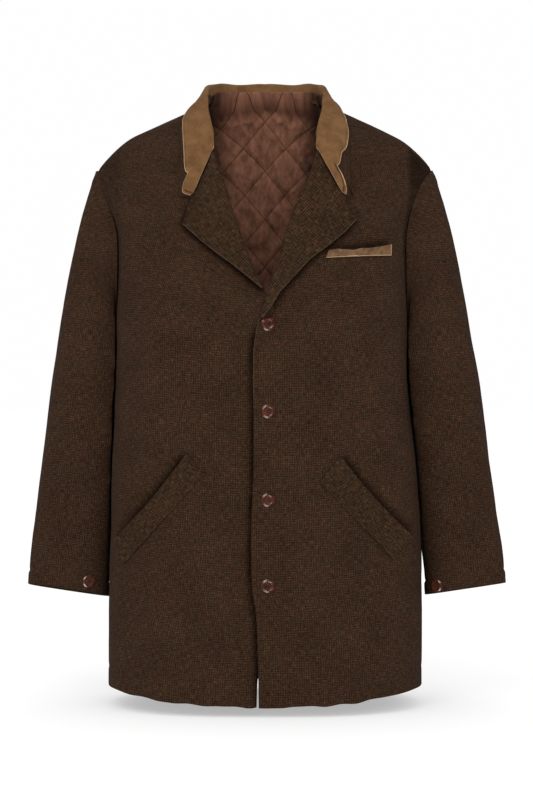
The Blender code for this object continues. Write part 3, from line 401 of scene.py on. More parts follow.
EDGE_STITCH = 0.0065      # distance of the sewing from the front's edge
EDGE_STITCH_DEPTH = 0.0004
EDGE_STITCH_WIDTH = 0.0016
EDGE_STITCH_TOP = {LEFT: -0.335, RIGHT: -0.345}
EDGE_BAND = 0.0020        # width of the paler edge of the left front
PALE_EDGE = (-0.450, -0.315)   # and the stretch that it has
EDGE_LIFT = 0.0034        # the left front's edge stands off the right front below the lapels
EDGE_LIFT_REACH = 0.007
EDGE_LIFT_TOP = -0.336
EDGE_LIFT_FADE = 0.030
EDGE_DENT = 0.0034        # and the right front gives way beside it
EDGE_DENT_REACH = 0.007
ARMHOLE_DIP = 0.0022      # the fronts sink towards the armholes
ARMHOLE_DIP_AT = 0.0090
ARMHOLE_DIP_REACH = 0.0050

LAPEL_STITCH = 0.0055
LAPEL_STITCH_DEPTH = 0.0005
LAPEL_STITCH_WIDTH = 0.0018
LAPEL_BAND = 0.0018       # width of the lapels' paler edges
LAPEL_EDGE_LIFT = 0.0048  # the lapels' free edges stand off the fronts by this much
LAPEL_EDGE_REACH = 0.016
LAPEL_DENT = 0.0034       # the fronts give way under the lapels' lower edges
LAPEL_DENT_REACH = 0.0065
LAPEL_POINT = 0.90        # share of the outline at which the lower edge ends in the point
THREAD_ANGLE = 45         # the lapels' and the hip welts' threads lie across those of the fronts

COLLAR_STITCH = 0.0038
COLLAR_STITCH_DEPTH = 0.0007
COLLAR_STITCH_WIDTH = 0.0012
COLLAR_STITCHED = (0.35, 0.93)     # and the stretch of the collar that is sewn
CUT_BAND = 0.0014         # width of the suede's cut edges
EDGE_CURL = 0.0012        # the suede's free edge stands up by this much
EDGE_CURL_REACH = 0.006
TIP_CURL = 0.0080         # and its tips by this much more
TIP_CURL_FROM = {RIGHT: 0.964, LEFT: 0.982}
TIP_CURL_ROUND = 0.5
CURL_REACH = {RIGHT: 0.0150, LEFT: 0.0090}
HOLLOW_FROM = 0.977       # the tips are cupped, with painted shade in the hollow inside their pale edges
HOLLOW_BAND = (0.0020, 0.0065)
LINED_STAND = 0.62        # the foot of the stand is painted as lining, in painted shade, as far forward as this

WELT_LIFT = 0.0058        # the opening edges of the welts stand off the fronts
WELT_LIFT_REACH = 0.008
WELT_DENT = 0.0056        # which give way just outside them
WELT_DENT_AT = 0.0030
WELT_DENT_REACH = 0.0052
WELT_DENT_FADE = 0.08
BREAST_WAVE = 0.0014      # waves in the breast welt's upper edge
WAVE_LENGTH = 0.012
WAVE_END = 1.4            # they die down before this share of its length
BREAST_GAPE = 0.0030      # and the gape at its inner end
GAPE_REACH = 0.35

CUFF_TURN_UP = 0.021
CUFF_STEP = 0.0012        # the turned-up cuff is fuller than the sleeve above it
CUFF_STEP_REACH = 0.003
CUFF_DRAWN = 0.0008       # and the line of sewing above it is drawn in
CUFF_DRAWN_WIDTH = 0.0030
SLEEVE_FRONT_TURN = 90.0
SLEEVE_ROUND = 0.375      # round the upper arm
HEAD_RISE = 0.0012        # fullness of the sleeve's head below its seam
HEAD_RISE_AT = 0.012
HEAD_RISE_REACH = 0.008
HEAD_TURN = 100.0         # it ends this far round from the top, in degrees
HEAD_FADE = 60.0

# painted shade, from 0 to 1, that darkens the cloth in creases, beside edges and under the arms
PAINTED_SHADE_TINT = (0.22, 0.20, 0.20)   # painted shade: the cloth's colour is multiplied by this where the shade is full
LAPEL_SHADE = {LEFT: 0.75, RIGHT: 0.95}   # on the fronts, along the lapels' lower edges
EDGE_SHADE = 0.95         # on the right front, beside the left one's edge
EDGE_SHADE_AT = 0.0012
ARM_SHADE = {LEFT: 0.75, RIGHT: 0.25}     # by the armholes
ARM_SHADE_REACH = 0.011
ARM_SHADE_FROM = 0.209    # and under the arms, further out than this and higher than this
ARM_SHADE_LOW = -0.54
ARM_SHADE_FADE = 0.10
SHADE_AT = 0.0016
SHADE_REACH = 0.0042
SHADE_UNEVEN = 0.35
SHADE_PATCH = 0.020

# lining
LINING_ARC_STEPS = 400
PILLOW_RISE = 0.0014      # swell of the lining between its lines of stitching
PILLOW_ROUND = 0.5
PILLOW_FULL = 1.6         # the crinkles are whole from near the stitching on
# its crinkles: height, size, and how much they are drawn out up and down and lean
NARROW_FOLD = (0.0018, 0.0060, 0.30, 0.0)
WIDE_FOLD = (0.0040, 0.0150, 0.55, 0.35)
LINING_JOIN = 0.022       # the top of the lining rises over this length to meet the collar
LINING_JOIN_FADE = (0.05, 0.15)
LINING_JOIN_ROUND = 0.5
NECK_ROWS = 55            # rows of the neck edge along the back of the neck
LINING_JOIN_IN = 0.0052   # it lies this far in from the neck edge
LINING_JOIN_Z = 0.0092    # and its top edge there is at this height where it is level with the neck
LINING_JOIN_RISE = 0.153  # higher by this for each metre further back

# edges, sewing and buttons
RIM_ANGLE = math.radians(50)
FOLD_DEPTH = 0.9          # a rolled edge takes up to this share of half the thickness off
STITCH_PITCH = 0.0032
STITCH_LENGTH = 0.0022
STITCH_RADIUS = 0.00032
STITCH_SIDES = 6
STITCH_RINGS = (0.3, 0.7)
BUTTON_HEIGHT = 0.0026
BUTTON_RADII = [0.0092, 0.0096, 0.0099, 0.0100]    # of the rounded rim, outside the evenly stepped face
BUTTON_FACE = 0.0088
BUTTON_FACE_STEPS = 45
BUTTON_TURNS = 96
JOIN_DISTANCE = 0.00001   # points of a button that are this close are one
LEAST_EDGE = 0.000001
RIM_RISE = (0.0005, 0.0052, 0.0022)     # height, inner end and length of the slope up to the rim
RIM_DROP = (0.0015, 0.0064, 0.0036)     # and of the round down to the edge
BACK_RISE = (0.0008, 0.0060, 0.0040)    # and of the round of the underside
HOLES = 4
HOLE_OUT = 0.0021
HOLE_RADIUS = 0.0008
HOLE_DEPTH = 0.0017
HOLE_SLOPE = (1.25, 0.5)  # the holes slope in from and over this many radii
THREAD_RADIUS = 0.00045
THREAD_STEPS = 9
THREAD_DIP = 0.0012       # the thread bends down into the holes
THREAD_PITCH = 1.5        # bead and pitch of the thread, as shares of the holes' distance
THREAD_BEAD = 1.45

# creases: start and end (distance out, height), bow, width, height
FRONT_CREASES = {}
FRONT_CREASES[LEFT] = [
    (0.135, -0.300, 0.140, -0.440, 0.004, 0.012, 0.0012),
    (0.060, -0.560, 0.075, -0.860, 0.010, 0.018, 0.0014),
    (0.165, -0.720, 0.150, -0.880, 0.006, 0.014, -0.0014),
    (0.190, -0.280, 0.150, -0.420, 0.012, 0.014, -0.0012),
    (0.040, -0.360, 0.070, -0.500, -0.006, 0.014, -0.0010),
]
FRONT_CREASES[RIGHT] = [
    (0.180, -0.330, 0.160, -0.470, 0.008, 0.014, 0.0012),
    (0.090, -0.600, 0.080, -0.860, -0.010, 0.018, -0.0014),
    (0.150, -0.700, 0.165, -0.880, 0.006, 0.014, 0.0014),
    (0.110, -0.300, 0.060, -0.380, 0.008, 0.012, -0.0010),
]
BACK_CREASES = [
    (-0.150, -0.180, -0.110, -0.400, 0.020, 0.016, 0.0022),
    (0.160, -0.170, 0.120, -0.380, -0.020, 0.018, 0.0020),
    (-0.060, -0.100, 0.050, -0.115, 0.012, 0.012, -0.0014),
    (-0.090, -0.420, -0.075, -0.800, 0.012, 0.022, 0.0020),
    (0.070, -0.450, 0.090, -0.850, -0.010, 0.022, 0.0022),
    (0.010, -0.500, -0.010, -0.820, 0.006, 0.018, -0.0012),
    (-0.170, -0.560, -0.160, -0.830, 0.008, 0.016, -0.0016),
    (0.180, -0.520, 0.165, -0.760, 0.008, 0.016, 0.0014),
]
# creases of the sleeves: turn in degrees from the outer side forwards, height, bow and width in degrees
SLEEVE_CREASES = {
    LEFT: [
        (60, -0.430, 150, -0.480, 10, 9, -0.0020),
        (50, -0.500, 140, -0.530, 8, 9, 0.0018),
        (300, -0.420, 210, -0.470, 10, 10, -0.0022),
        (310, -0.520, 220, -0.500, 8, 10, 0.0022),
        (20, -0.300, 40, -0.420, 6, 9, 0.0012),
        (330, -0.300, 320, -0.450, 6, 9, 0.0014),
        (280, -0.600, 240, -0.680, 6, 9, -0.0014),
    ],
    RIGHT: [
        (50, -0.410, 140, -0.470, 10, 9, -0.0018),
        (40, -0.540, 130, -0.560, 8, 9, 0.0016),
        (300, -0.440, 215, -0.480, 10, 10, -0.0022),
        (310, -0.530, 220, -0.510, 8, 10, 0.0022),
        (25, -0.320, 45, -0.400, 6, 9, 0.0012),
        (330, -0.300, 325, -0.450, 6, 9, 0.0014),
        (285, -0.620, 245, -0.690, 6, 9, -0.0014),
    ],
}

# free edge of the suede with its notch and curled tip, as a share of the way from the roll to the edge of
# the under collar
SUEDE_EDGE = {
    RIGHT: [
        ("along", "share"),
        (0.00, 0.86),
        (0.56, 0.88),
        (0.63, 0.86),
        (0.686, 0.79),
        (0.7285, 0.785),
        (0.81, 0.79),
        (0.892, 0.775),
        (0.935, 0.680),
        (0.955, 0.630),
        (0.966, 0.610),
        (0.970, 0.78),
        (0.975, 0.91),
        (0.983, 0.96),
        (1.00, 0.99),
    ],
    LEFT: [
        ("along", "share"),
        (0.00, 0.86),
        (0.56, 0.85),
        (0.6735, 0.64),
        (0.7215, 0.74),
        (0.7685, 0.85),
        (0.8295, 0.815),
        (0.900, 0.61),
        (0.935, 0.52),
        (0.960, 0.47),
        (0.982, 0.46),
        (0.986, 0.70),
        (0.990, 0.84),
        (0.995, 0.93),
        (1.00, 0.98),
    ],
}

# ---------------------------------------------------------------- tones and finishes
RIB_SHARE = 0.24          # how much the regular ribs count against the loose threads
RIB_WANDER = 5.0          # the ribs stray by up to this much, in radians
RIB_WANDER_SCALE = 45.0
THREAD_STRETCH = 0.16     # threads are long and thin: this is how much their pattern is drawn out
TWEED_TONES = [(0.0085, 0.0042, 0.0024), (0.032, 0.0165, 0.0095), (0.100, 0.057, 0.034)]
LAPEL_TONES = [(0.0068, 0.0036, 0.0019), (0.029, 0.0153, 0.0081), (0.106, 0.063, 0.037)]
EDGE_TONES = [(0.024, 0.014, 0.009), (0.070, 0.044, 0.028)]
SUEDE_TONES = [(0.098, 0.047, 0.0178), (0.190, 0.099, 0.0425)]
POCKET_TONES = [(0.075, 0.038, 0.0185), (0.195, 0.112, 0.0590)]
HOLLOW_SHADE_TONES = [(0.040, 0.018, 0.0080), (0.085, 0.042, 0.0180)]
CUT_TONES = [(0.30, 0.185, 0.105), (0.44, 0.30, 0.185)]
# satin tones: dark and pale, which carry painted shade and highlight on the crinkles, and the lines of sewing
SATIN_TONES = [(0.120, 0.050, 0.029), (0.415, 0.186, 0.114), (0.066, 0.026, 0.015)]
SATIN_SIDE = (0.046, 0.072)       # painted shade on the lining further out than this
SATIN_SIDE_TINT = (0.20, 0.20, 0.20)
SATIN_TOP = (-0.230, -0.020)      # and more painted shade lower down
SATIN_LOW_TINT = (0.72, 0.72, 0.72)
SATIN_TOP_SHADE = 0.022           # and painted shade just below its top edge
SATIN_TOP_TINT = (0.62, 0.60, 0.60)
HORN_TONES = [(0.034, 0.0095, 0.0045), (0.092, 0.0270, 0.0130)]
THREAD_TONES = [(0.021, 0.0112, 0.007), (0.030, 0.016, 0.010)]
WHITE = (1.0, 1.0, 1.0)
WEAR_TINTS = [(0.84, 0.84, 0.84), (1.14, 1.14, 1.14)]
HEATHER_RED = (1.07, 0.98, 0.97)
HEATHER_OLIVE = (0.95, 1.015, 0.98)
# tweeds: threads to the metre in the loose pattern, distance between the ribs, share of flecks, tones
TWEEDS = {
    "tweed": (760.0, 0.0034, 0.30, TWEED_TONES),
    "lapel_tweed": (640.0, 0.0031, 0.20, LAPEL_TONES),
    "welt_tweed": (760.0, 0.0027, 0.15, LAPEL_TONES),
}
# suedes: tones, and patches of the nap to the metre
SUEDES = {
    "suede": (SUEDE_TONES, 60.0),
    "pocket_suede": (POCKET_TONES, 110.0),
    "cut_suede": (CUT_TONES, 60.0),
    "painted_shade_suede": (HOLLOW_SHADE_TONES, 110.0),
}
# clouds: detail, roughness, and the values of the noise that count as 0 and as 1, after bumps to the metre
LOOSE = (2.0, 0.6, 0.32, 0.68)
FLECKS = (2.0, 0.7, 0.35, 0.72)
FLECK_SCALE = 1.5
RIB_PATCHES = (130.0, 2.0, 0.5, 0.20, 0.80)     # patches in which the ribs run up or across
HEATHER = (62.0, 3.0, 0.6, 0.38, 0.62)
WEAR = (16.0, 3.0, 0.6, 0.30, 0.70)
NAP = (4.0, 0.60, 0.34, 0.66)
GRAIN = (900.0, 2.0, 0.6, 0.25, 0.75)
VEINS = (160.0, 3.0, 0.6, 0.35, 0.65)
EDGE_CLOUDS = (420.0, 2.0, 0.6, 0.35, 0.60)
FIBRES = (500.0, 2.0, 0.5, 0.0, 1.0)
DARK_THREADS = (0.12, 0.52)       # parts of the weave that go from the dark tone to the middle one
PALE_THREADS = (0.50, 0.92)       # and from there to the pale one
NAP_SHARE = 0.65
CRINKLES = [(210.0, 3.0, 0.6, 0.4), (70.0, 2.0, 0.5, 0.6)]    # satin: bumps, detail, roughness and share
CRINKLE_STRETCH = 0.52
CRINKLE_RANGE = (0.30, 0.70)
SEWN_WIDTH = (0.010, 0.050)
TWEED_BUMP = (0.60, 0.0008)       # strength and depth
SUEDE_BUMP = (0.35, 0.0006)
SATIN_BUMP = (0.8, 0.0034)
TWEED_GLOSS = {"Roughness": 0.95, "Specular_IOR_Level": 0.03, "Sheen_Weight": 0.01}
SUEDE_GLOSS = {"Roughness": 0.92, "Specular_IOR_Level": 0.04, "Sheen_Weight": 0.02}
SATIN_GLOSS = {"Roughness": 0.42, "Specular_IOR_Level": 0.10, "Sheen_Weight": 0.02}
HORN_GLOSS = {"Roughness": 0.24, "Specular_IOR_Level": 0.5, "Coat_Weight": 0.3, "Coat_Roughness": 0.12}
EDGE_GLOSS = {"Roughness": 0.95, "Specular_IOR_Level": 0.03}
THREAD_GLOSS = {"Roughness": 0.7, "Specular_IOR_Level": 0.15}

# stage
FLOOR_HALF = 60.0
FLOOR_DROP = 0.014
SKY_STRENGTH = 0.993
FLOOR_WHITE = 1.05
FLOOR_GLOW = 0.40         # share of the floor's brightness that shadows do not reach
WINDOW_WAYS = [(-0.50, -0.60, 0.62), (-0.30, -0.60, -0.70)]
WINDOW_CORE = math.radians(14)
WINDOW_EDGE = math.radians(24)
WINDOW_STRENGTH = 8.0
ROOM_STRENGTH = 0.02
LIGHT_AIM = (0.0, 0.0, -0.45)
LIGHTS = [
    ("name", "place", "size", "power"),
    ("key", (-1.0, -2.6, 1.7), 1.2, 14.0),
    ("front", (0.5, -3.3, 0.3), 1.8, 20.0),
]
CAMERA_LENS = 90.0
CAMERA_SENSOR = 36.0
CAMERA_DISTANCE = 3.0
CAMERA_X = 0.00225
CAMERA_Z = -0.450


# ---------------------------------------------------------------- curves and surfaces
def hermite(t, start, end, leaving, arriving):
    """Place at t on the curve from start to end that leaves and arrives at these speeds."""
    first = (1 + 2 * t) * (1 - t) ** 2 * start + t * (1 - t) ** 2 * leaving
    return first + t * t * (3 - 2 * t) * end - t * t * (1 - t) * arriving


def smooth(table, name, at):
    """A column of a table as a smooth curve that never overshoots its rows."""
    rows = sorted(table[1:])
    spot = np.array([row[0] for row in rows])
    value = np.array([row[table[0].index(name)] for row in rows])
    secant = np.diff(value) / np.diff(spot)
    slope = np.zeros(len(value))
    slope[0] = secant[0]
    slope[-1] = secant[-1]
    product = secant[:-1] * secant[1:]
    total = secant[:-1] + secant[1:]
    same_way = product > 0
    slope[1:-1][same_way] = 2 * product[same_way] / total[same_way]
    at = np.clip(at, spot[0], spot[-1])
    k = np.clip(np.searchsorted(spot, at, side="right") - 1, 0, len(spot) - 2)
    width = spot[k + 1] - spot[k]
    return hermite((at - spot[k]) / width, value[k], value[k + 1], width * slope[k], width * slope[k + 1])


def straight(table, name, at):
    """A column of a table as straight runs between its rows."""
    column = table[0].index(name)
    return np.interp(at, [row[0] for row in table[1:]], [row[column] for row in table[1:]])


def ease(t):
    """0 to 1 with a soft start and end."""
    t = np.clip(t, 0.0, 1.0)
    return t * t * (3 - 2 * t)


def arc(t):
    """0 at both ends of a run from 0 to 1, and 1 in its middle."""
    return 4 * t * (1 - t)


def inside_ends(t, fade):
    """1 along a run from 0 to 1, falling to 0 over this share of it at each end."""
    return ease(t / fade) * ease((1 - t) / fade)


def trough(distance, place, width):
    """1 along a line at this distance from an edge, 0 away from it."""
    return np.exp(-((distance - place) / width) ** 2)


def beside_line(u, v, start, end):
    """Share of the way along a straight line, distance to the left of it, and its length."""
    du = end[0] - start[0]
    dv = end[1] - start[1]
    length = math.hypot(du, dv)
    along = ((u - start[0]) * du + (v - start[1]) * dv) / length ** 2
    return along, ((v - start[1]) * du - (u - start[0]) * dv) / length, length


def rounded(angle, power):
    """Sine and cosine of a rounded square: power 2 is a circle, more is squarer."""
    s = np.sin(angle)
    c = np.cos(angle)
    reach = (np.abs(s) ** power + np.abs(c) ** power) ** (1 / power)
    return s / reach, c / reach


def across_from(share, power):
    """The cosine of a rounded square whose sine is this share."""
    return (1 - share ** power) ** (1 / power)


def ridge_z(x):
    """Height of the shoulder ridge."""
    out = np.hypot(x, RIDGE_ROUND) - math.hypot(NECK_X, RIDGE_ROUND)
    past = np.maximum(np.abs(x) - SHOULDER_ROUND_X, 0.0)
    return NECK_TOP_Z - SHOULDER_SLOPE * out - SHOULDER_ROUND * past ** 2


def height_share(x, z):
    """Share of the way from the height of the pit up to the shoulder ridge."""
    return (z - PIT_Z) / (ridge_z(x) - PIT_Z)


def hem_height(deep):
    """Height of the hem where the body's depth is this share of its depth in the middle."""
    return SIDE_HEM_Z - HEM_DIP * deep ** HEM_DIP_POWER


def half_width(x, z, share):
    """Half width of the body on the side of x, by height below the pit and by share above it."""
    below = np.where(x < 0, smooth(BODY_WIDTH, "right", z), smooth(BODY_WIDTH, "left", z))
    above = np.where(x < 0, smooth(ARMHOLE_WIDTH, "right", share), smooth(ARMHOLE_WIDTH, "left", share))
    return np.where(share > 0, above, below)


def half_depth(face, z):
    """Half depth of the body on the side that faces forwards (less than 0) or backwards."""
    low_z = np.minimum(z, PIT_Z)
    return np.where(face < 0, smooth(BODY_DEPTH, "front", low_z), smooth(BODY_DEPTH, "back", low_z))


def body(face, angle, level):
    """Point on the body's outer surface.

    face is -1 for the front and 1 for the back. angle goes round from the middle, in degrees, + to the left.
    level is -1 at the hem, 0 at the pit, 1 on the shoulder ridge, and more than 1 beyond the ridge.
    """
    angle, level = np.broadcast_arrays(np.radians(np.asarray(angle, float)), np.asarray(level, float))
    across, deep = rounded(angle, PLAN_POWER)
    past_ridge = level > 1
    face = np.where(past_ridge, -face, face)
    rise = np.radians(90 * np.clip(np.where(past_ridge, 2 - level, level), 0, 1))
    front_share, front_deep = rounded(rise, FRONT_ARCH)
    back_share, back_deep = rounded(rise, BACK_ARCH)
    share = np.where(face < 0, front_share, back_share)
    arch = np.where(face < 0, front_deep, back_deep)
    share = np.where(level > 0, share, 0.0)
    arch = np.where(level > 0, arch, 1.0)
    hem_z = hem_height(deep)
    z = PIT_Z + (PIT_Z - hem_z) * np.minimum(level, 0)
    x = across * half_width(across, z, share)
    z = np.where(level > 0, PIT_Z + (ridge_z(x) - PIT_Z) * share, z)
    y = MID_Y + face * half_depth(face, z) * deep * arch
    return np.stack([x, y, z], axis=-1)


def unit(vector):
    return vector / np.maximum(np.linalg.norm(vector, axis=-1, keepdims=True), 1e-12)


def body_normal(face, angle, level):
    """Outward direction of the body's surface."""
    around = body(face, angle + NORMAL_TURN, level) - body(face, angle - NORMAL_TURN, level)
    up = body(face, angle, level + NORMAL_LEVEL) - body(face, angle, level - NORMAL_LEVEL)
    normal = unit(np.cross(around, up))
    point = body(face, angle, level)
    outward = point - np.array([0.0, MID_Y, PIT_Z])
    outward[..., 2] = np.maximum(outward[..., 2], 0.0)
    facing = np.sum(normal * outward, axis=-1, keepdims=True)
    return np.where(facing < 0, -normal, normal)


def front_place(x, z):
    """Angle and level of the point of the front that is seen at x, z."""
    x, z = np.broadcast_arrays(np.asarray(x, float), np.asarray(z, float))
    share = np.clip(height_share(x, z), 0.0, 1.0)
    arch = across_from(share, FRONT_ARCH)
    across = np.clip(np.abs(x) / half_width(x, z, share), 0.0, NEARLY_SIDE)
    deep = across_from(across, PLAN_POWER)
    angle = np.degrees(np.arctan2(across, deep)) * np.where(x < 0, -1, 1)
    above = np.degrees(np.arctan2(share, arch)) / 90
    return angle, np.where(z > PIT_Z, above, (z - PIT_Z) / (PIT_Z - hem_height(deep)))


def under_drop(side, x):
    """How far a front is sunk below the body's surface, so that the other one can lie on it."""
    if side == LEFT:
        return np.zeros_like(x)
    return UNDER_DROP * ease((UNDER_DROP_FROM + x) / (UNDER_DROP_FROM - UNDER_DROP_TO))


def on_front(side, x, z, out):
    """Point that is seen at x, z and lies the distance out above a front, and the outward direction there."""
    x, z, out = np.broadcast_arrays(np.asarray(x, float), np.asarray(z, float), np.asarray(out, float))
    foot_x = x.copy()
    foot_z = z.copy()
    for _ in range(FRONT_ROUNDS):
        angle, level = front_place(foot_x, foot_z)
        normal = body_normal(-1, angle, level)
        lift = (out - under_drop(side, foot_x))[..., None]
        point = body(-1, angle, level) + normal * lift
        foot_x = foot_x + x - point[..., 0]
        foot_z = foot_z + z - point[..., 2]
    return point, normal


def level_at(face, angle, z):
    """Level of the point at this angle and height."""
    x = body(face, angle, np.zeros_like(z))[..., 0]
    for _ in range(LEVEL_ROUNDS):
        share = np.clip(height_share(x, z), 0.0, 1.0)
        arch = across_from(share, FRONT_ARCH if face < 0 else BACK_ARCH)
        level = np.degrees(np.arctan2(share, arch)) / 90
        x = body(face, angle, level)[..., 0]
    _across, deep = rounded(np.radians(angle), PLAN_POWER)
    return np.where(z > PIT_Z, level, (z - PIT_Z) / (PIT_Z - hem_height(deep)))


def seam_level(across):
    """Level of the shoulder seam, from the neck (0) to the tip of the shoulder (1)."""
    return SEAM_NECK_LEVEL + (SEAM_TIP_LEVEL - SEAM_NECK_LEVEL) * across


def side_angle(share):
    """Angle at which the panels end: the side seam, and the armhole above it."""
    return np.where(share > 0, smooth(ARMHOLE_EDGE, "angle", np.maximum(share, 0)), 90.0)


def angle_at(face, x, level):
    """Angle of the point with this x on a level of the body."""
    x, level = np.broadcast_arrays(np.asarray(x, float), np.asarray(level, float))
    width = np.abs(body(face, np.where(x < 0, -90.0, 90.0), level)[..., 0])
    across = np.clip(np.abs(x) / width, 0, NEARLY_SIDE)
    return np.degrees(np.arctan2(across, across_from(across, PLAN_POWER))) * np.where(x < 0, -1, 1)


def front_edge(side, shares):
    """Angle and level of a front's inner edge on each row."""
    level = np.where(shares > 0, shares * seam_level(0.0), shares)
    z = body(-1, EDGE_GUESS * side, level)[:, 2]
    for _ in range(LEVEL_ROUNDS):
        angle = angle_at(-1, smooth(FRONT_EDGE[side], "out", z) * side, level)
        z = body(-1, angle, level)[:, 2]
    return angle, level


def neck_angle(side):
    """Angle of the side of the neck, where the shoulder seam starts, without its sign."""
    angle, _level = front_edge(side, np.array([1.0]))
    return abs(angle[0])


def neckline_level(angle):
    """Level of the back neckline, between the two ends of the shoulder seams."""
    end_level = seam_level(0.0)
    end_angle = np.where(angle < 0, neck_angle(RIGHT), neck_angle(LEFT))
    end_y = body(-1, end_angle, end_level)[..., 1]
    out = np.clip(np.abs(angle) / end_angle, 0, 1)
    y = end_y + (BACK_NECK_Y - end_y) * across_from(out, NECKLINE_POWER)
    low = np.zeros_like(y)
    high = np.full_like(y, 2 - end_level)
    for _ in range(NECKLINE_ROUNDS):
        middle = (low + high) / 2
        too_far_back = body(1, angle, middle)[..., 1] > y
        low = np.where(too_far_back, middle, low)
        high = np.where(too_far_back, high, middle)
    return (low + high) / 2


def back_levels(shares, top):
    """Levels of the back's rows, which run level below and bend to meet its top edge."""
    tip = 2 - seam_level(1.0)
    above = np.maximum(shares, 0)
    return np.minimum(shares, 0) + above * tip + (top - tip) * above ** TOP_EDGE_BEND


def push_out(points, clearance):
    """Moves points that are inside the body, or too near it, outwards to its surface."""
    x = points[..., 0]
    y = points[..., 1] - MID_Y
    z = points[..., 2]
    share = np.clip(height_share(x, z), 0, NEARLY_TOP)
    arch = across_from(share, np.where(y < 0, FRONT_ARCH, BACK_ARCH))
    wide = half_width(x, z, share) + clearance
    deep = half_depth(y, z) * arch + clearance
    inside = (np.abs(x) / wide) ** PLAN_POWER + (np.abs(y) / deep) ** PLAN_POWER
    scale = np.maximum(np.maximum(inside, 1e-9) ** (-1 / PLAN_POWER), 1.0)
    return np.stack([x * scale, y * scale + MID_Y, z], axis=-1)


def arm_ring(side, z, turn):
    """Points round the arm of a sleeve, by height and by turn from its outer side in degrees."""
    reach = smooth(SLEEVE_SECTIONS, "left" if side == LEFT else "right", z)
    wide = smooth(SLEEVE_SECTIONS, "wide", z)
    deep = smooth(SLEEVE_SECTIONS, "deep", z)
    power = smooth(SLEEVE_SECTIONS, "power", z)
    forward, out = rounded(np.radians(turn), power)
    middle = reach - wide * math.cos(SLEEVE_TILT)
    x = side * (middle + wide * out * math.cos(SLEEVE_TILT))
    y = smooth(SLEEVE_SECTIONS, "depth", z) - deep * forward
    cuff_z = SLEEVE_SECTIONS[-1][0]
    drop = CUFF_DROP[side] * ease((CUFF_DROP_FROM - z) / (CUFF_DROP_FROM - cuff_z)) * (1 - forward) / 2
    return np.stack([x, y, z + wide * out * math.sin(SLEEVE_TILT) - drop], axis=-1)


def spread(length, step, first=False, last=False):
    """Places from 0 to 1 along a run of this length, with more of them near the ends that are rolled over."""
    places = np.linspace(0, 1, max(2, round(length / step)) + 1)
    close = np.array(EDGE_STEPS) / length
    if first:
        places = np.concatenate([close, places[places > close[-1] * EDGE_CLEAR]])
    if last:
        places = np.concatenate([places[places < 1 - close[-1] * EDGE_CLEAR], 1 - close[::-1]])
    return places


def panel_shares():
    """Rows of a body panel: -1 at the hem, 0 at the pit, 1 at the shoulder seam."""
    below = spread(PIT_Z - SIDE_HEM_Z, PANEL_STEP, first=True) - 1
    above = spread(-PIT_Z, PANEL_STEP, last=True)
    return np.concatenate([below, above[1:]])


def front_panel(side):
    """Surface of one front, hem to shoulder and middle to side: points and directions."""
    shares = panel_shares()
    across = spread(FRONT_ARC, PANEL_STEP, first=True, last=True)
    edge_angle, _level = front_edge(side, shares)
    end_angle = side_angle(shares) * side
    angle = edge_angle[:, None] + (end_angle - edge_angle)[:, None] * across
    level = np.where(shares[:, None] > 0, shares[:, None] * seam_level(across), shares[:, None])
    points = body(-1, angle, level)
    normals = body_normal(-1, angle, level)
    return points - normals * under_drop(side, points[..., 0])[..., None], normals


def back_panel():
    """Surface of the back, hem to shoulders and right to left: points and directions."""
    shares = panel_shares()
    across = spread(SIDE_ARC, BACK_STEP, last=True)
    end_angle = side_angle(shares)
    neck = {side: neck_angle(side) for side in (RIGHT, LEFT)}
    outer = {side: neck[side] + (end_angle - neck[side])[:, None] * across for side in (RIGHT, LEFT)}
    columns = spread(NECK_ARC, BACK_STEP)[:-1]
    inner = np.concatenate([-neck[RIGHT] * columns[:0:-1], neck[LEFT] * columns])
    middle = np.broadcast_to(inner, (len(shares), len(inner)))
    angle = np.concatenate([-outer[RIGHT][:, ::-1], middle, outer[LEFT]], axis=1)
    top_side = 2 - seam_level(across)
    top = np.concatenate([top_side[::-1], neckline_level(inner), top_side])
    level = back_levels(shares[:, None], top)
    return body(1, angle, level), body_normal(1, angle, level)


def armhole(side):
    """The armhole's edge, from the tip of the shoulder down the front to the pit and up the back."""
    shares = np.linspace(0, 1, ARMHOLE_STEPS + 1)
    angle = side_angle(shares) * side
    front_level = shares * seam_level(1.0)
    back_level = shares * (2 - seam_level(1.0))
    loop = np.concatenate([body(-1, angle, front_level)[::-1], body(1, angle, back_level)[1:-1]])
    steps = np.linalg.norm(np.diff(np.concatenate([loop, loop[:1]]), axis=0), axis=1)
    length = np.concatenate([[0], np.cumsum(steps)])
    pit = ARMHOLE_STEPS
    down_front = 180 * length[:-1] / length[pit]
    up_back = 180 + 180 * (length[:-1] - length[pit]) / (length[-1] - length[pit])
    turn = np.where(np.arange(len(loop)) <= pit, down_front, up_back)
    front_normal = body_normal(-1, angle, front_level)
    back_normal = body_normal(1, angle, back_level)
    return loop, turn, np.concatenate([front_normal[::-1], back_normal[1:-1]])


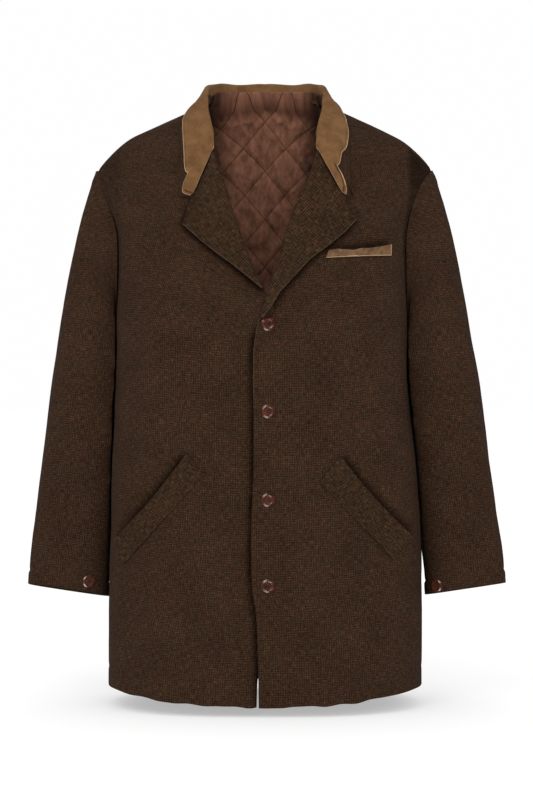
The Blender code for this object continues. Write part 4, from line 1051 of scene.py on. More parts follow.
def sleeve(side):
    """Surface of a sleeve from the armhole to the cuff: points, directions and turns."""
    loop, turn, panel_normal = armhole(side)
    top_z = SLEEVE_SECTIONS[1][0]
    first = arm_ring(side, np.full(len(turn), top_z), turn)
    second = arm_ring(side, np.full(len(turn), top_z - ARM_STEP), turn)
    half_turn = np.minimum(turn, 360 - turn)
    behind = np.where(turn > 180, -1.0, 1.0)
    leave = np.stack([
        side * smooth(CAP_TANGENT, "out", half_turn),
        smooth(CAP_TANGENT, "back", half_turn) * behind,
        smooth(CAP_TANGENT, "up", half_turn),
    ], axis=-1)
    length = smooth(CAP_TANGENT, "length", half_turn)[:, None]
    start = loop + unit(leave) * SLEEVE_START
    rows = [hermite(t, start, first, length * unit(leave), length * unit(second - first))
            for t in spread(CAP_LENGTH, SLEEVE_STEP, first=True)]
    cap_rows = len(rows)
    cuff_z = SLEEVE_SECTIONS[-1][0]
    arm_z = top_z + (cuff_z - top_z) * spread(top_z - cuff_z, SLEEVE_STEP, last=True)[1:]
    rows += [arm_ring(side, np.full(len(turn), z), turn) for z in arm_z]
    outer = np.stack(rows)
    near = np.minimum(1.0, np.arange(len(rows)) / cap_rows * CAP_CLEAR)
    for i in range(1, len(rows)):
        outer[i] = push_out(outer[i], ARM_GAP * near[i])
    around = np.roll(outer, -1, axis=1) - np.roll(outer, 1, axis=1)
    down = np.gradient(outer, axis=0)
    normal = unit(np.cross(around, down)) * side
    alike = np.sum(normal[0] * panel_normal, axis=-1, keepdims=True)
    normal[0] = unit(normal[0] + (panel_normal - normal[0]) * ease((alike - SEAM_ALIKE[0]) / SEAM_ALIKE[1]))
    return outer, normal, turn


# ---------------------------------------------------------------- collar and lapels
def neck_edge(side):
    """Neck edge from the middle of the back to the gorge, mirrored onto the left, and its shares."""
    shares = np.linspace(0, 1, NECK_STEPS + 1)
    angle = side * neck_angle(side) * shares
    mirror = np.array([side, 1, 1])
    back = body(1, angle, neckline_level(angle)) * mirror
    rows = np.linspace(1, 0, NECK_FRONT_STEPS)
    edge_angle, level = front_edge(side, rows)
    front = body(-1, edge_angle, level)
    front = (front - body_normal(-1, edge_angle, level) * under_drop(side, front[:, 0])[:, None]) * mirror
    gorge_z = TOP_LAPEL_ROLL[1]
    above = front[1:][front[1:, 2] > gorge_z]
    below = front[front[:, 2] <= gorge_z][0]
    last = above[-1] + (below - above[-1]) * (gorge_z - above[-1, 2]) / (below[2] - above[-1, 2])
    points = np.concatenate([back, above, [last]])
    length = np.concatenate([[0], np.cumsum(np.linalg.norm(np.diff(points, axis=0), axis=1))])
    along = length / length[-1]
    body_rows = np.linspace(0, TIP_FROM, COLLAR_ROWS)
    fine = np.concatenate([body_rows, np.linspace(TIP_FROM, 1, TIP_ROWS)[1:]])
    return np.stack([np.interp(fine, along, points[:, k]) for k in range(3)], axis=-1), fine


def chest_field(points):
    """Less than 0 inside the chest, shoulders and shoulder blades, more outside."""
    x = points[..., 0]
    y = points[..., 1] - MID_Y
    z = points[..., 2]
    share = np.clip(height_share(x, z), *CHEST_SHARES)
    across = np.clip(np.abs(x) / half_width(x, z, np.minimum(share, 1)), 0, NEARLY_WIDE)
    deep = across_from(across, PLAN_POWER) * half_depth(y, np.full_like(z, PIT_Z))
    power = np.where(y < 0, FRONT_ARCH, BACK_ARCH)
    return (share ** power + (np.abs(y) / deep) ** power) ** (1 / power) - 1


def lift_off(points, clearance, lower=False):
    """Raises points too near the chest or the shoulders. lower also brings back those that are too far."""
    steps = np.eye(3) * FIELD_STEP
    for _ in range(LIFT_ROUNDS):
        slopes = [(chest_field(points + d) - chest_field(points - d)) / (2 * FIELD_STEP) for d in steps]
        slope = np.stack(slopes, axis=-1)
        distance = chest_field(points) / np.linalg.norm(slope, axis=-1)
        change = clearance - distance
        points = points + unit(slope) * (change if lower else np.maximum(change, 0))[..., None]
    return points


def gorge(side):
    """Ends of the seam between the lapel and the collar, and its direction, seen from the front."""
    roll_top = LAPEL_ROLL[side][1]
    start = np.array([smooth(FRONT_EDGE[side], "out", roll_top), roll_top])
    end = np.array(LAPEL[side][-1][1:])
    return start, end, unit(end - start)


def halfway(grid, axis):
    """Direction of a grid along one axis at each point, halfway between the runs before and after it."""
    runs = unit(np.diff(grid, axis=axis))
    first = np.take(runs, [0], axis=axis)
    last = np.take(runs, [-1], axis=axis)
    return unit(np.concatenate([first, runs], axis=axis) + np.concatenate([runs, last], axis=axis))


def grid_normals(grid):
    return unit(np.cross(halfway(grid, 1), halfway(grid, 0)))


def collar_surface(side):
    """Visible side of one half of the collar, mirrored onto the left, and the direction its stand faces.

    Rows run from the middle of the back to the gorge. Columns run up the stand, over the roll and down the
    fall: the last ones are past the facing, on the under collar's edge.
    """
    edge, along = neck_edge(side)
    run = unit(np.gradient(edge, axis=0))
    run[0] = (1, 0, 0)
    level_in = unit(np.stack([-np.abs(run[:, 1]), -run[:, 0], np.zeros_like(along)], axis=-1))
    tilt = np.radians(smooth(COLLAR_SECTIONS, "tilt", along))
    raised = np.stack([np.zeros_like(along), -np.sin(tilt), np.cos(tilt)], axis=-1)
    lean = smooth(COLLAR_SECTIONS, "lean", along)[:, None]
    crest = edge + level_in * lean + raised * smooth(COLLAR_SECTIONS, "stand", along)[:, None]
    free = np.stack([smooth(COLLAR_SECTIONS, "edge_" + k, along) for k in "xyz"], axis=-1)
    _start, gorge_end, _direction = gorge(side)
    near_gorge = ease((along - COLLAR_CORNER_AT) / (1 - COLLAR_CORNER_AT))
    last = free[-1].copy()
    free[:, 0] += (gorge_end[0] - last[0]) * near_gorge
    free[:, 2] += (gorge_end[1] - last[2]) * near_gorge
    free = lift_off(free, FREE_EDGE_REST, lower=True)
    up = unit(crest - edge)
    inward = unit(np.cross(run, up))
    to_middle = edge * np.array([-1.0, -1.0, 0.0])
    facing = np.sum(inward * to_middle, axis=-1, keepdims=True)
    inward = np.where(facing < 0, -inward, inward)
    base = edge + up * STAND_GAP + inward * (SUEDE + COLLAR_SEAM + UNDER_CLOTH)
    out = -inward
    columns = [base + (crest - base) * t for t in np.linspace(0, 1, STAND_STEPS)[:-1]]
    for turn in np.linspace(0, math.pi, ROLL_STEPS):
        columns.append(crest + ROLL_RADIUS * (out * (1 - math.cos(turn)) + up * math.sin(turn)))
    start = columns[-1]
    spring = unit(np.cross(np.gradient(crest, axis=0), free - start))
    spring = np.where(np.sum(spring * up, axis=-1, keepdims=True) < 0, -spring, spring)
    height = smooth(COLLAR_SECTIONS, "spring", along)[:, None]
    reach = smooth(SUEDE_EDGE[side], "share", along)
    shares = [reach * t for t in spread(FALL_LENGTH, FALL_STEP, last=True)[1:]]
    shares += [reach + (1 - reach) * t for t in np.linspace(0, 1, UNDER_STEPS + 1)[1:]]
    for t in shares:
        t = t[:, None]
        point = start + (free - start) * t + spring * height * arc(t)
        columns.append(lift_off(point, COLLAR_REST + (FREE_EDGE_REST - COLLAR_REST) * t[:, 0]))
    return np.stack(columns, axis=1), inward, along


def lapel_surface(side):
    """Places of a lapel's points as seen from the front, and their height above the front."""
    outline = LAPEL[side]
    roll = LAPEL_ROLL[side]
    shares = np.union1d(np.linspace(0, 1, LAPEL_ROWS), [row[0] for row in outline[1:]])
    roll_z = roll[0] + (roll[1] - roll[0]) * shares
    roll_out = smooth(FRONT_EDGE[side], "out", roll_z)
    across = spread(LAPEL_WIDTH, LAPEL_STEP, last=True)[None, :]
    out = roll_out[:, None] * (1 - across) + straight(outline, "out", shares)[:, None] * across
    z = roll_z[:, None] * (1 - across) + straight(outline, "height", shares)[:, None] * across
    distance = np.hypot(out - roll_out[:, None], z - roll_z[:, None]) / ROLL_REACH
    lift = LAPEL_REST + ROLL_LIFT * distance * np.exp(1 - distance)
    return out, z, lift


# ---------------------------------------------------------------- relief of the cloth
def noise(u, v, size, seed):
    """Smooth random field from -1 to 1, with bumps of about this size."""
    table = np.random.default_rng(seed).uniform(-1, 1, (NOISE_CELLS, NOISE_CELLS))
    u = u / size + NOISE_CELLS / 2
    v = v / size + NOISE_CELLS / 2
    i = np.floor(u).astype(int)
    j = np.floor(v).astype(int)
    s = ease(u - i)
    t = ease(v - j)
    i = i % NOISE_CELLS
    j = j % NOISE_CELLS
    i_next = (i + 1) % NOISE_CELLS
    j_next = (j + 1) % NOISE_CELLS
    low = table[i, j] * (1 - s) + table[i_next, j] * s
    high = table[i, j_next] * (1 - s) + table[i_next, j_next] * s
    return low * (1 - t) + high * t


def creases(u, v, table, scale=1.0):
    """Soft folds along bowed lines: ridges, or troughs where their height is less than 0.

    scale puts v in the unit of u.
    """
    relief = np.zeros(np.broadcast(u, v).shape)
    for start_u, start_v, end_u, end_v, bow, width, height in table:
        along, aside, _length = beside_line(u, v * scale, (start_u, start_v * scale), (end_u, end_v * scale))
        aside = aside - bow * arc(along)
        fold = trough(aside, 0.0, width) - CREASE_TURN * trough(aside, CREASE_SHIFT * width, width)
        relief = relief + height * inside_ends(along, CREASE_FADE) * fold
    return relief


def edge_distances(points):
    """Distance of each point of a grid from its bottom, top, first and last edges, along the grid."""
    up = np.linalg.norm(np.diff(points, axis=0), axis=-1)
    along = np.linalg.norm(np.diff(points, axis=1), axis=-1)
    from_bottom = np.concatenate([np.zeros((1, points.shape[1])), np.cumsum(up, axis=0)])
    from_first = np.concatenate([np.zeros((points.shape[0], 1)), np.cumsum(along, axis=1)], axis=1)
    return {
        "bottom": from_bottom,
        "top": from_bottom[-1:] - from_bottom,
        "first": from_first,
        "last": from_first[:, -1:] - from_first,
    }


# ---------------------------------------------------------------- meshes
def shell(name, outer, normal, thickness, uv, finish, closed=False, folded=(), inside=None, facing=0.0,
          rim=None, marked=(), shade=None):
    """Thin closed cloth between a grid of points and the same grid a thickness behind it.

    folded names the edges that are rolled over. inside is the finish of the hidden side further in than
    facing from the edges, rim the finish of the cut edges, and marked gives other finishes to some of the
    outer faces. shade, from 0 to 1, is painted shade: it darkens the cloth's colour in creases and gaps.
    """
    rows, columns = outer.shape[:2]
    count = rows * columns
    edge = edge_distances(outer)
    radius = thickness / 2
    sunk = np.zeros((rows, columns))
    for side in folded:
        near = np.minimum(edge[side], radius)
        sunk = np.maximum(sunk, radius - np.sqrt(np.maximum(radius ** 2 - (radius - near) ** 2, 0)))
    sunk = np.minimum(sunk, radius * FOLD_DEPTH)[..., None]
    inner = outer - normal * (thickness - sunk)
    outer = outer - normal * sunk
    index = np.arange(count).reshape(rows, columns)
    if closed:
        index = np.concatenate([index, index[:, :1]], axis=1)
    place = np.arange(uv.shape[0] * uv.shape[1]).reshape(uv.shape[:2])
    across = outer[1:-1, 2:] - outer[1:-1, :-2]
    along = outer[2:, 1:-1] - outer[:-2, 1:-1]
    flip = np.sum(np.cross(across, along) * normal[1:-1, 1:-1]) < 0

    def quads(grid):
        return np.stack([grid[:-1, :-1], grid[:-1, 1:], grid[1:, 1:], grid[1:, :-1]], axis=-1).reshape(-1, 4)

    def strip(line):
        return np.stack([line[1:], line[:-1], line[:-1] + count, line[1:] + count], axis=-1)

    def strip_places(line):
        return np.stack([line[1:], line[:-1], line[:-1], line[1:]], axis=-1)

    lines = [(index[0], place[0]), (index[-1, ::-1], place[-1, ::-1])]
    if not closed:
        lines += [(index[::-1, 0], place[::-1, 0]), (index[:, -1], place[:, -1])]
    faces = [quads(index), quads(index)[:, ::-1] + count] + [strip(a) for a, _b in lines]
    places = [quads(place), quads(place)[:, ::-1]] + [strip_places(b) for _a, b in lines]
    kinds = np.zeros(sum(len(f) for f in faces), int)
    main_faces = len(faces[0])
    finishes = [finish]
    if inside is not None:
        finishes.append(inside)
        sides = ("bottom", "top") if closed else ("bottom", "top", "first", "last")
        nearest = np.minimum.reduce([edge[k] for k in sides])
        if closed:
            nearest = np.concatenate([nearest, nearest[:, :1]], axis=1)
        deep = nearest[:-1, :-1].reshape(-1) > facing
        kinds[main_faces:2 * main_faces][deep] = len(finishes) - 1
    if rim is not None:
        finishes.append(rim)
        kinds[2 * main_faces:] = len(finishes) - 1
    for other, mark in marked:
        finishes.append(other)
        kinds[:main_faces][(mark[:-1, :-1] & mark[1:, 1:]).reshape(-1)] = len(finishes) - 1
    faces = np.concatenate(faces)
    places = np.concatenate(places)
    if flip:
        faces = faces[:, ::-1]
        places = places[:, ::-1]
    points = np.concatenate([outer.reshape(-1, 3), inner.reshape(-1, 3)])
    mesh = bpy.data.meshes.new(name)
    mesh.from_pydata(points.tolist(), [], faces.tolist())
    layer = mesh.uv_layers.new(name="cloth")
    layer.data.foreach_set("uv", uv.reshape(-1, 2)[places.reshape(-1)].astype(np.float32).reshape(-1))
    # painted shade on the points, which the tweed reads to darken its colour
    if shade is not None:
        depth = mesh.attributes.new("shade", "FLOAT", "POINT")
        depth.data.foreach_set("value", np.tile(shade.reshape(-1), 2).astype(np.float32))
    mesh.shade_smooth()
    mesh.set_sharp_from_angle(angle=RIM_ANGLE)
    for kind in finishes:
        mesh.materials.append(kind)
    mesh.polygons.foreach_set("material_index", kinds.astype(np.int32))
    return link(name, mesh)


def link(name, mesh):
    made = bpy.data.objects.new(name, mesh)
    bpy.context.scene.collection.objects.link(made)
    return made


def grid_uv(*coordinates):
    return np.stack(np.broadcast_arrays(*coordinates), axis=-1)


def turned(u, v, degrees):
    """The same place on cloth whose threads are turned by this angle."""
    c = math.cos(math.radians(degrees))
    s = math.sin(math.radians(degrees))
    return grid_uv(u * c - v * s, u * s + v * c)


def stitches(name, runs, finish, pitch=STITCH_PITCH, length=STITCH_LENGTH, radius=STITCH_RADIUS):
    """Rows of sewn stitches as small beads along lines of points. Each run is (points, directions away)."""
    turns = [2 * math.pi * k / STITCH_SIDES for k in range(STITCH_SIDES)]
    points = []
    faces = []
    for line, away in runs:
        steps = np.linalg.norm(np.diff(line, axis=0), axis=1)
        reach = np.concatenate([[0], np.cumsum(steps)])
        for middle in np.arange(pitch / 2, reach[-1], pitch):
            start, end = [np.array([np.interp(place, reach, line[:, k]) for k in range(3)])
                          for place in (middle - length / 2, middle + length / 2)]
            out = unit(np.array([np.interp(middle, reach, away[:, k]) for k in range(3)]))
            side = unit(np.cross(out, unit(end - start)))
            first = len(points)
            near = first + 2
            far = near + STITCH_SIDES
            points += [start - out * radius, end - out * radius]
            for share in STITCH_RINGS:
                centre = start * (1 - share) + end * share
                points += [centre + radius * (side * math.cos(turn) + out * math.sin(turn)) for turn in turns]
            for k in range(STITCH_SIDES):
                n = (k + 1) % STITCH_SIDES
                faces.append((first, near + n, near + k))
                faces.append((near + k, near + n, far + n, far + k))
                faces.append((first + 1, far + k, far + n))
    mesh = bpy.data.meshes.new(name)
    mesh.from_pydata([tuple(p) for p in points], [], faces)
    mesh.shade_smooth()
    mesh.materials.append(finish)
    return link(name, mesh)


# ---------------------------------------------------------------- finishes
def material(name, **values):
    """New Principled material with these socket values, its node tree and its shader."""
    made = bpy.data.materials.new(name)
    made.use_nodes = True
    tree = made.node_tree
    shader = tree.nodes["Principled BSDF"]
    for socket, value in values.items():
        shader.inputs[socket.replace("_", " ")].default_value = value
    return made, tree, shader


def node(tree, kind, inputs=None, **settings):
    made = tree.nodes.new(kind)
    for key, value in settings.items():
        setattr(made, key, value)
    for key, value in (inputs or {}).items():
        socket = made.inputs[key]
        if isinstance(value, bpy.types.NodeSocket):
            tree.links.new(value, socket)
        else:
            socket.default_value = value
    return made


def calculate(tree, operation, a, b=0.0, c=0.0):
    return node(tree, "ShaderNodeMath", {0: a, 1: b, 2: c}, operation=operation).outputs[0]


def blend(tree, factor, a, b, mode="MIX"):
    made = node(tree, "ShaderNodeMix", {0: factor}, data_type="RGBA", blend_type=mode)
    for key, value in ((6, a), (7, b)):
        if isinstance(value, bpy.types.NodeSocket):
            tree.links.new(value, made.inputs[key])
        else:
            made.inputs[key].default_value = (*value, 1.0)
    return made.outputs[2]


def cloth_place(tree, stretch=(1.0, 1.0)):
    """Place on the cloth in metres, along and across the threads."""
    place = node(tree, "ShaderNodeUVMap", uv_map="cloth").outputs[0]
    return node(tree, "ShaderNodeMapping", {0: place, 3: (*stretch, 1.0)}).outputs[0]


def object_place(tree):
    return node(tree, "ShaderNodeTexCoord").outputs["Object"]


def cloud(tree, place, scale, detail=2.0, roughness=0.5):
    """Noise from 0 to 1, with this many bumps to the metre."""
    inputs = {"Vector": place, "Scale": scale, "Detail": detail, "Roughness": roughness}
    return node(tree, "ShaderNodeTexNoise", inputs).outputs[0]


def contrast(tree, value, low, high):
    """Stretches a field so that low becomes 0 and high becomes 1."""
    return node(tree, "ShaderNodeMapRange", {0: value, 1: low, 2: high}).outputs[0]


def clouds(tree, place, scale, detail, roughness, low, high):
    """Noise with its low value stretched to 0 and its high one to 1."""
    return contrast(tree, cloud(tree, place, scale, detail, roughness), low, high)


def tinted(tree, colour, tint):
    return blend(tree, 1.0, colour, tint, "MULTIPLY")


def weighed(tree, a, b, share):
    """Sum of share of a and the rest of b."""
    rest = calculate(tree, "MULTIPLY", b, 1 - share)
    return calculate(tree, "ADD", calculate(tree, "MULTIPLY", a, share), rest)


def raise_up(tree, shader, height, strength, distance):
    bump = node(tree, "ShaderNodeBump", {"Height": height, "Strength": strength, "Distance": distance})
    tree.links.new(bump.outputs[0], shader.inputs["Normal"])


def make_tweed(name, scale, period, flecked, tones):
    """Hopsack tweed: ribs of thread, up or across in patches, with short dark and taupe lengths, darkened by
    painted shade where the points carry it.
    """
    made, tree, shader = material(name, **TWEED_GLOSS)
    place = cloth_place(tree)
    up = clouds(tree, cloth_place(tree, (1.0, THREAD_STRETCH)), scale, *LOOSE)
    across = clouds(tree, cloth_place(tree, (THREAD_STRETCH, 1.0)), scale, *LOOSE)
    flecks = clouds(tree, place, scale * FLECK_SCALE, *FLECKS)
    threads = calculate(tree, "MULTIPLY", calculate(tree, "ADD", up, across), (1 - flecked) / 2)
    loose = calculate(tree, "MULTIPLY_ADD", flecks, flecked, threads)
    wander = calculate(tree, "MULTIPLY", cloud(tree, place, RIB_WANDER_SCALE), RIB_WANDER)
    parts = node(tree, "ShaderNodeSeparateXYZ", {0: place}).outputs
    ribs = []
    for part in (parts[0], parts[1]):
        phase = calculate(tree, "MULTIPLY_ADD", part, 2 * math.pi / period, wander)
        ribs.append(calculate(tree, "MULTIPLY_ADD", calculate(tree, "SINE", phase), 0.5, 0.5))
    patch = clouds(tree, place, *RIB_PATCHES)
    swapped = calculate(tree, "MULTIPLY", calculate(tree, "SUBTRACT", ribs[0], ribs[1]), patch)
    mixed = weighed(tree, calculate(tree, "ADD", ribs[1], swapped), loose, RIB_SHARE)
    colour = blend(tree, contrast(tree, mixed, *DARK_THREADS), tones[0], tones[1])
    colour = blend(tree, contrast(tree, mixed, *PALE_THREADS), colour, tones[2])
    yarns = [tinted(tree, colour, tint) for tint in (HEATHER_RED, HEATHER_OLIVE)]
    colour = blend(tree, clouds(tree, place, *HEATHER), *yarns)
    colour = tinted(tree, colour, blend(tree, clouds(tree, place, *WEAR), *WEAR_TINTS))
    # painted shade: the colour is darkened where the points' shade says so
    painted_shade = node(tree, "ShaderNodeAttribute", attribute_name="shade").outputs["Fac"]
    colour = blend(tree, painted_shade, colour, tinted(tree, colour, PAINTED_SHADE_TINT))
    tree.links.new(colour, shader.inputs["Base Color"])
    raise_up(tree, shader, mixed, *TWEED_BUMP)
    return made


def make_suede(name, tones, nap_scale):
    """Brushed suede: cloudy nap over a fine grain."""
    made, tree, shader = material(name, **SUEDE_GLOSS)
    place = object_place(tree)
    both = weighed(tree, clouds(tree, place, nap_scale, *NAP), clouds(tree, place, *GRAIN), NAP_SHARE)
    tree.links.new(blend(tree, both, *tones), shader.inputs["Base Color"])
    raise_up(tree, shader, both, *SUEDE_BUMP)
    return made


def make_satin(name, quilted=True):
    """Satin: soft gloss, with small crinkles drawn out up and down and the quilting's lines of sewing, with
    painted highlight and shade on the crinkles and painted shade at the sides, lower down and below the top
    edge.
    """
    made, tree, shader = material(name, **SATIN_GLOSS)
    place = cloth_place(tree, (1.0, CRINKLE_STRETCH))
    layers = [calculate(tree, "MULTIPLY", cloud(tree, place, *shape), share) for *shape, share in CRINKLES]
    crinkle = calculate(tree, "ADD", *layers)
    # painted highlight and shade: the crinkles are paler where they rise and darker where they sink
    colour = blend(tree, contrast(tree, crinkle, *CRINKLE_RANGE), SATIN_TONES[0], SATIN_TONES[1])
    raise_up(tree, shader, crinkle, *SATIN_BUMP)
    if not quilted:
        # plain satin, all in the painted shade of the lining's sides
        tree.links.new(tinted(tree, colour, SATIN_SIDE_TINT), shader.inputs["Base Color"])
        return made
    parts = node(tree, "ShaderNodeSeparateXYZ", {0: cloth_place(tree)}).outputs
    column = calculate(tree, "MULTIPLY", parts[0], math.pi / 2 / QUILT_STEP_X)
    step = math.pi / 2 / QUILT_STEP_Z
    row = calculate(tree, "MULTIPLY_ADD", parts[1], -step, QUILT_TOP_Z * step)
    ways = [calculate(tree, "ABSOLUTE", calculate(tree, "SINE", calculate(tree, sign, row, column)))
            for sign in ("ADD", "SUBTRACT")]
    sewn = contrast(tree, calculate(tree, "MINIMUM", *ways), *SEWN_WIDTH)
    colour = blend(tree, sewn, SATIN_TONES[2], colour)
    # painted shade: darker at the sides, lower down and just below the top edge
    aside = contrast(tree, calculate(tree, "ABSOLUTE", parts[0]), *SATIN_SIDE)
    low = contrast(tree, parts[1], *SATIN_TOP)
    top = contrast(tree, parts[1], LINING_NECK_Z - SATIN_TOP_SHADE, LINING_NECK_Z)
    for place, tints in ((aside, (WHITE, SATIN_SIDE_TINT)), (low, (SATIN_LOW_TINT, WHITE)),
                         (top, (WHITE, SATIN_TOP_TINT))):
        colour = tinted(tree, colour, blend(tree, place, *tints))
    tree.links.new(colour, shader.inputs["Base Color"])
    return made


def make_clouded(name, place, shape, tones, gloss):
    """One tone clouded with another: horn, thread, or the paler edge of the cloth."""
    made, tree, shader = material(name, **gloss)
    tone = clouds(tree, place(tree), *shape)
    tree.links.new(blend(tree, tone, *tones), shader.inputs["Base Color"])
    return made


# ---------------------------------------------------------------- pieces
def belong(piece):
    """The piece moves with the part."""
    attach(piece, "root")
    return piece


def settle(piece, node_name):
    """The piece stands for a solid of the frame and moves with it."""
    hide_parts(node_name)
    return belong(piece)


def cloth_relief(x, z, seed):
    """Unevenness of worn tweed."""
    layers = [noise(x + shift_x, z + shift_z, size, seed + number) * height
              for number, (size, height, shift_x, shift_z) in enumerate(UNEVEN)]
    return sum(layers)


def bumps(u, v, shape, seed):
    """Unevenness with bumps of one size and height."""
    size, height = shape
    return noise(u, v, size, seed) * height


def calm(distance, least):
    """1 away from an edge, falling to this share at it."""
    return ease(distance / CALM_REACH) * (1 - least) + least


def hem_relief(distance, along, seed):
    """Turned-up hem: a line of sewing drawn in a little, with small puckers below it."""
    line = trough(distance, HEM_TURN_UP, HEM_DRAWN_WIDTH)
    pucker = noise(along, distance * PUCKER_LONG, PUCKER_SIZE, seed)
    below = ease((HEM_TURN_UP - distance) / HEM_TURN_UP)
    return PUCKER * below * pucker - HEM_DRAWN * line * (1 + HEM_DRAWN_UNEVEN * pucker)


def hem_wave(along, distance, seed):
    """How much the hem rises and falls."""
    return HEM_WAVE * noise(along, 0.0, HEM_WAVE_LENGTH, seed) * ease(1 - distance / HEM_WAVE_REACH)


def panel_relief(points, edge, side, kind, folds, seams):
    """Unevenness, folds and hem of a body panel, with its seams drawn in. side is 0 for the back."""
    x = points[..., 0]
    z = points[..., 2]
    relief = cloth_relief(x, z, SEEDS[kind] + side)
    relief += creases(x * (side or 1), z, folds)
    relief += hem_relief(edge["bottom"], x, SEEDS[f"{kind} hem"] + side)
    for seam in seams:
        relief -= SEAM_DIP * trough(edge[seam], 0.0, SEAM_WIDTH)
    return relief


def make_front(side, look):
    points, normal = front_panel(side)
    edge = edge_distances(points)
    x = points[..., 0] * side
    z = points[..., 2]
    to_middle = edge["first"]
    above_pit = ease((z - PIT_Z) / PIT_FADE)
    below_lapel = ease((EDGE_LIFT_TOP - z) / EDGE_LIFT_FADE)
    relief = panel_relief(points, edge, side, "front", FRONT_CREASES[side], ("last", "top"))
    relief -= EDGE_STITCH_DEPTH * trough(to_middle, EDGE_STITCH, EDGE_STITCH_WIDTH)
    relief -= ARMHOLE_DIP * trough(edge["last"], ARMHOLE_DIP_AT, ARMHOLE_DIP_REACH) * above_pit
    relief *= calm(to_middle, FRONT_CALM)
    relief -= LAPEL_DENT * beside_lapel(side, x, z, LAPEL_DENT_REACH)
    # painted shade: the front is darkened along the lapels' lower edges, beside the welts' openings, by the
    # armholes, under the arms and beside the left front's edge
    under_arm = ease((x - ARM_SHADE_FROM) / ARM_SHADE_REACH) * ease((z - ARM_SHADE_LOW) / ARM_SHADE_FADE)
    beside_arm = np.maximum(trough(edge["last"], 0.0, ARM_SHADE_REACH) * above_pit, under_arm)
    shades = [LAPEL_SHADE[side] * beside_lapel(side, x, z, SHADE_REACH), ARM_SHADE[side] * beside_arm]
    for corners, sag, strength in WELTS[side]:
        relief -= WELT_DENT * beside_welt(corners, sag, x, z, WELT_DENT_AT, WELT_DENT_REACH)
        shades.append(strength * beside_welt(corners, sag, x, z, SHADE_AT, SHADE_REACH))
    if side == LEFT:
        relief += EDGE_LIFT * np.exp(-to_middle / EDGE_LIFT_REACH) * below_lapel
    else:
        past_edge = x + smooth(TOP_FRONT_EDGE, "out", z)
        relief -= EDGE_DENT * trough(past_edge, 0.0, EDGE_DENT_REACH) * below_lapel
        shades.append(EDGE_SHADE * trough(past_edge, EDGE_SHADE_AT, SHADE_REACH) * below_lapel)
    shade = np.maximum.reduce(shades) * (1 - SHADE_UNEVEN * ease(noise(x, z, SHADE_PATCH, SEEDS["shade"])))
    points = points + normal * relief[..., None]
    points[..., 2] += hem_wave(points[..., 0], edge["bottom"], SEEDS["front hem wave"] + side)
    uv = grid_uv(to_middle * side, edge["bottom"])
    name = NAMES[side]
    pale = (to_middle < EDGE_BAND) & (z > PALE_EDGE[0]) & (z < PALE_EDGE[1])
    piece = shell(f"front_{name}_cloth", points, normal, CLOTH, uv, look["tweed"],
                  folded=("bottom", "first"), inside=look["satin"], facing=HEM_FACING,
                  marked=[(look["paler_edge"], pale)] if side == LEFT else [], shade=shade)
    settle(piece, f"front_{name}")
    line = near_line(points, normal, to_middle, EDGE_STITCH, z < EDGE_STITCH_TOP[side])
    return piece, [sew(f"front_{name}_edge_stitches", line, look)]


def sew(name, line, look):
    """A row of stitches on a piece."""
    return belong(stitches(name, [line], look["thread"]))


def beside_welt(corners, sag, x, z, place, reach):
    """1 on a front just outside a welt pocket's opening, where the cloth gives way, and 0 away from it."""
    start = corners[1][1:]
    end = corners[2][1:]
    along, aside, length = beside_line(x, z, start, end)
    drop = sag * arc(along) * (end[0] - start[0]) / length
    return trough(aside + drop, place, reach) * inside_ends(along, WELT_DENT_FADE)


def beside_lapel(side, x, z, reach):
    """1 on a front along the lower edge of its lapel, where the cloth gives way, and 0 away from it."""
    corners = [row[1:] for row in LAPEL[side][1:] if row[0] <= LAPEL_POINT]
    nearest = np.full(x.shape, 1.0)
    for start, end in zip(corners[:-1], corners[1:]):
        along, _aside, _length = beside_line(x, z, start, end)
        along = np.clip(along, 0, 1)
        foot_x = start[0] + along * (end[0] - start[0])
        foot_z = start[1] + along * (end[1] - start[1])
        nearest = np.minimum(nearest, np.hypot(x - foot_x, z - foot_z))
    return trough(nearest, 0.0, reach)


def near_line(points, normal, distance, place, wanted):
    """Line of points on a grid at this distance from its first column, over the wanted rows."""
    rows = []
    away = []
    for i in range(len(points)):
        k = int(np.searchsorted(distance[i], place))
        if wanted[i, k]:
            rows.append([np.interp(place, distance[i], points[i, :, axis]) for axis in range(3)])
            away.append(normal[i, k])
    return np.array(rows), np.array(away)


def make_back(look):
    points, normal = back_panel()
    edge = edge_distances(points)
    x = points[..., 0]
    relief = panel_relief(points, edge, 0, "back", BACK_CREASES, ("first", "last", "top"))
    points = points + normal * relief[..., None]
    points[..., 2] += hem_wave(x, edge["bottom"], SEEDS["back hem wave"])
    middle = points.shape[1] // 2
    uv = grid_uv(edge["first"] - edge["first"][:, middle:middle + 1], edge["bottom"])
    piece = shell("back_cloth", points, normal, CLOTH, uv, look["tweed"], folded=("bottom",),
                  inside=look["satin"], facing=HEM_FACING)
    return settle(piece, "back")


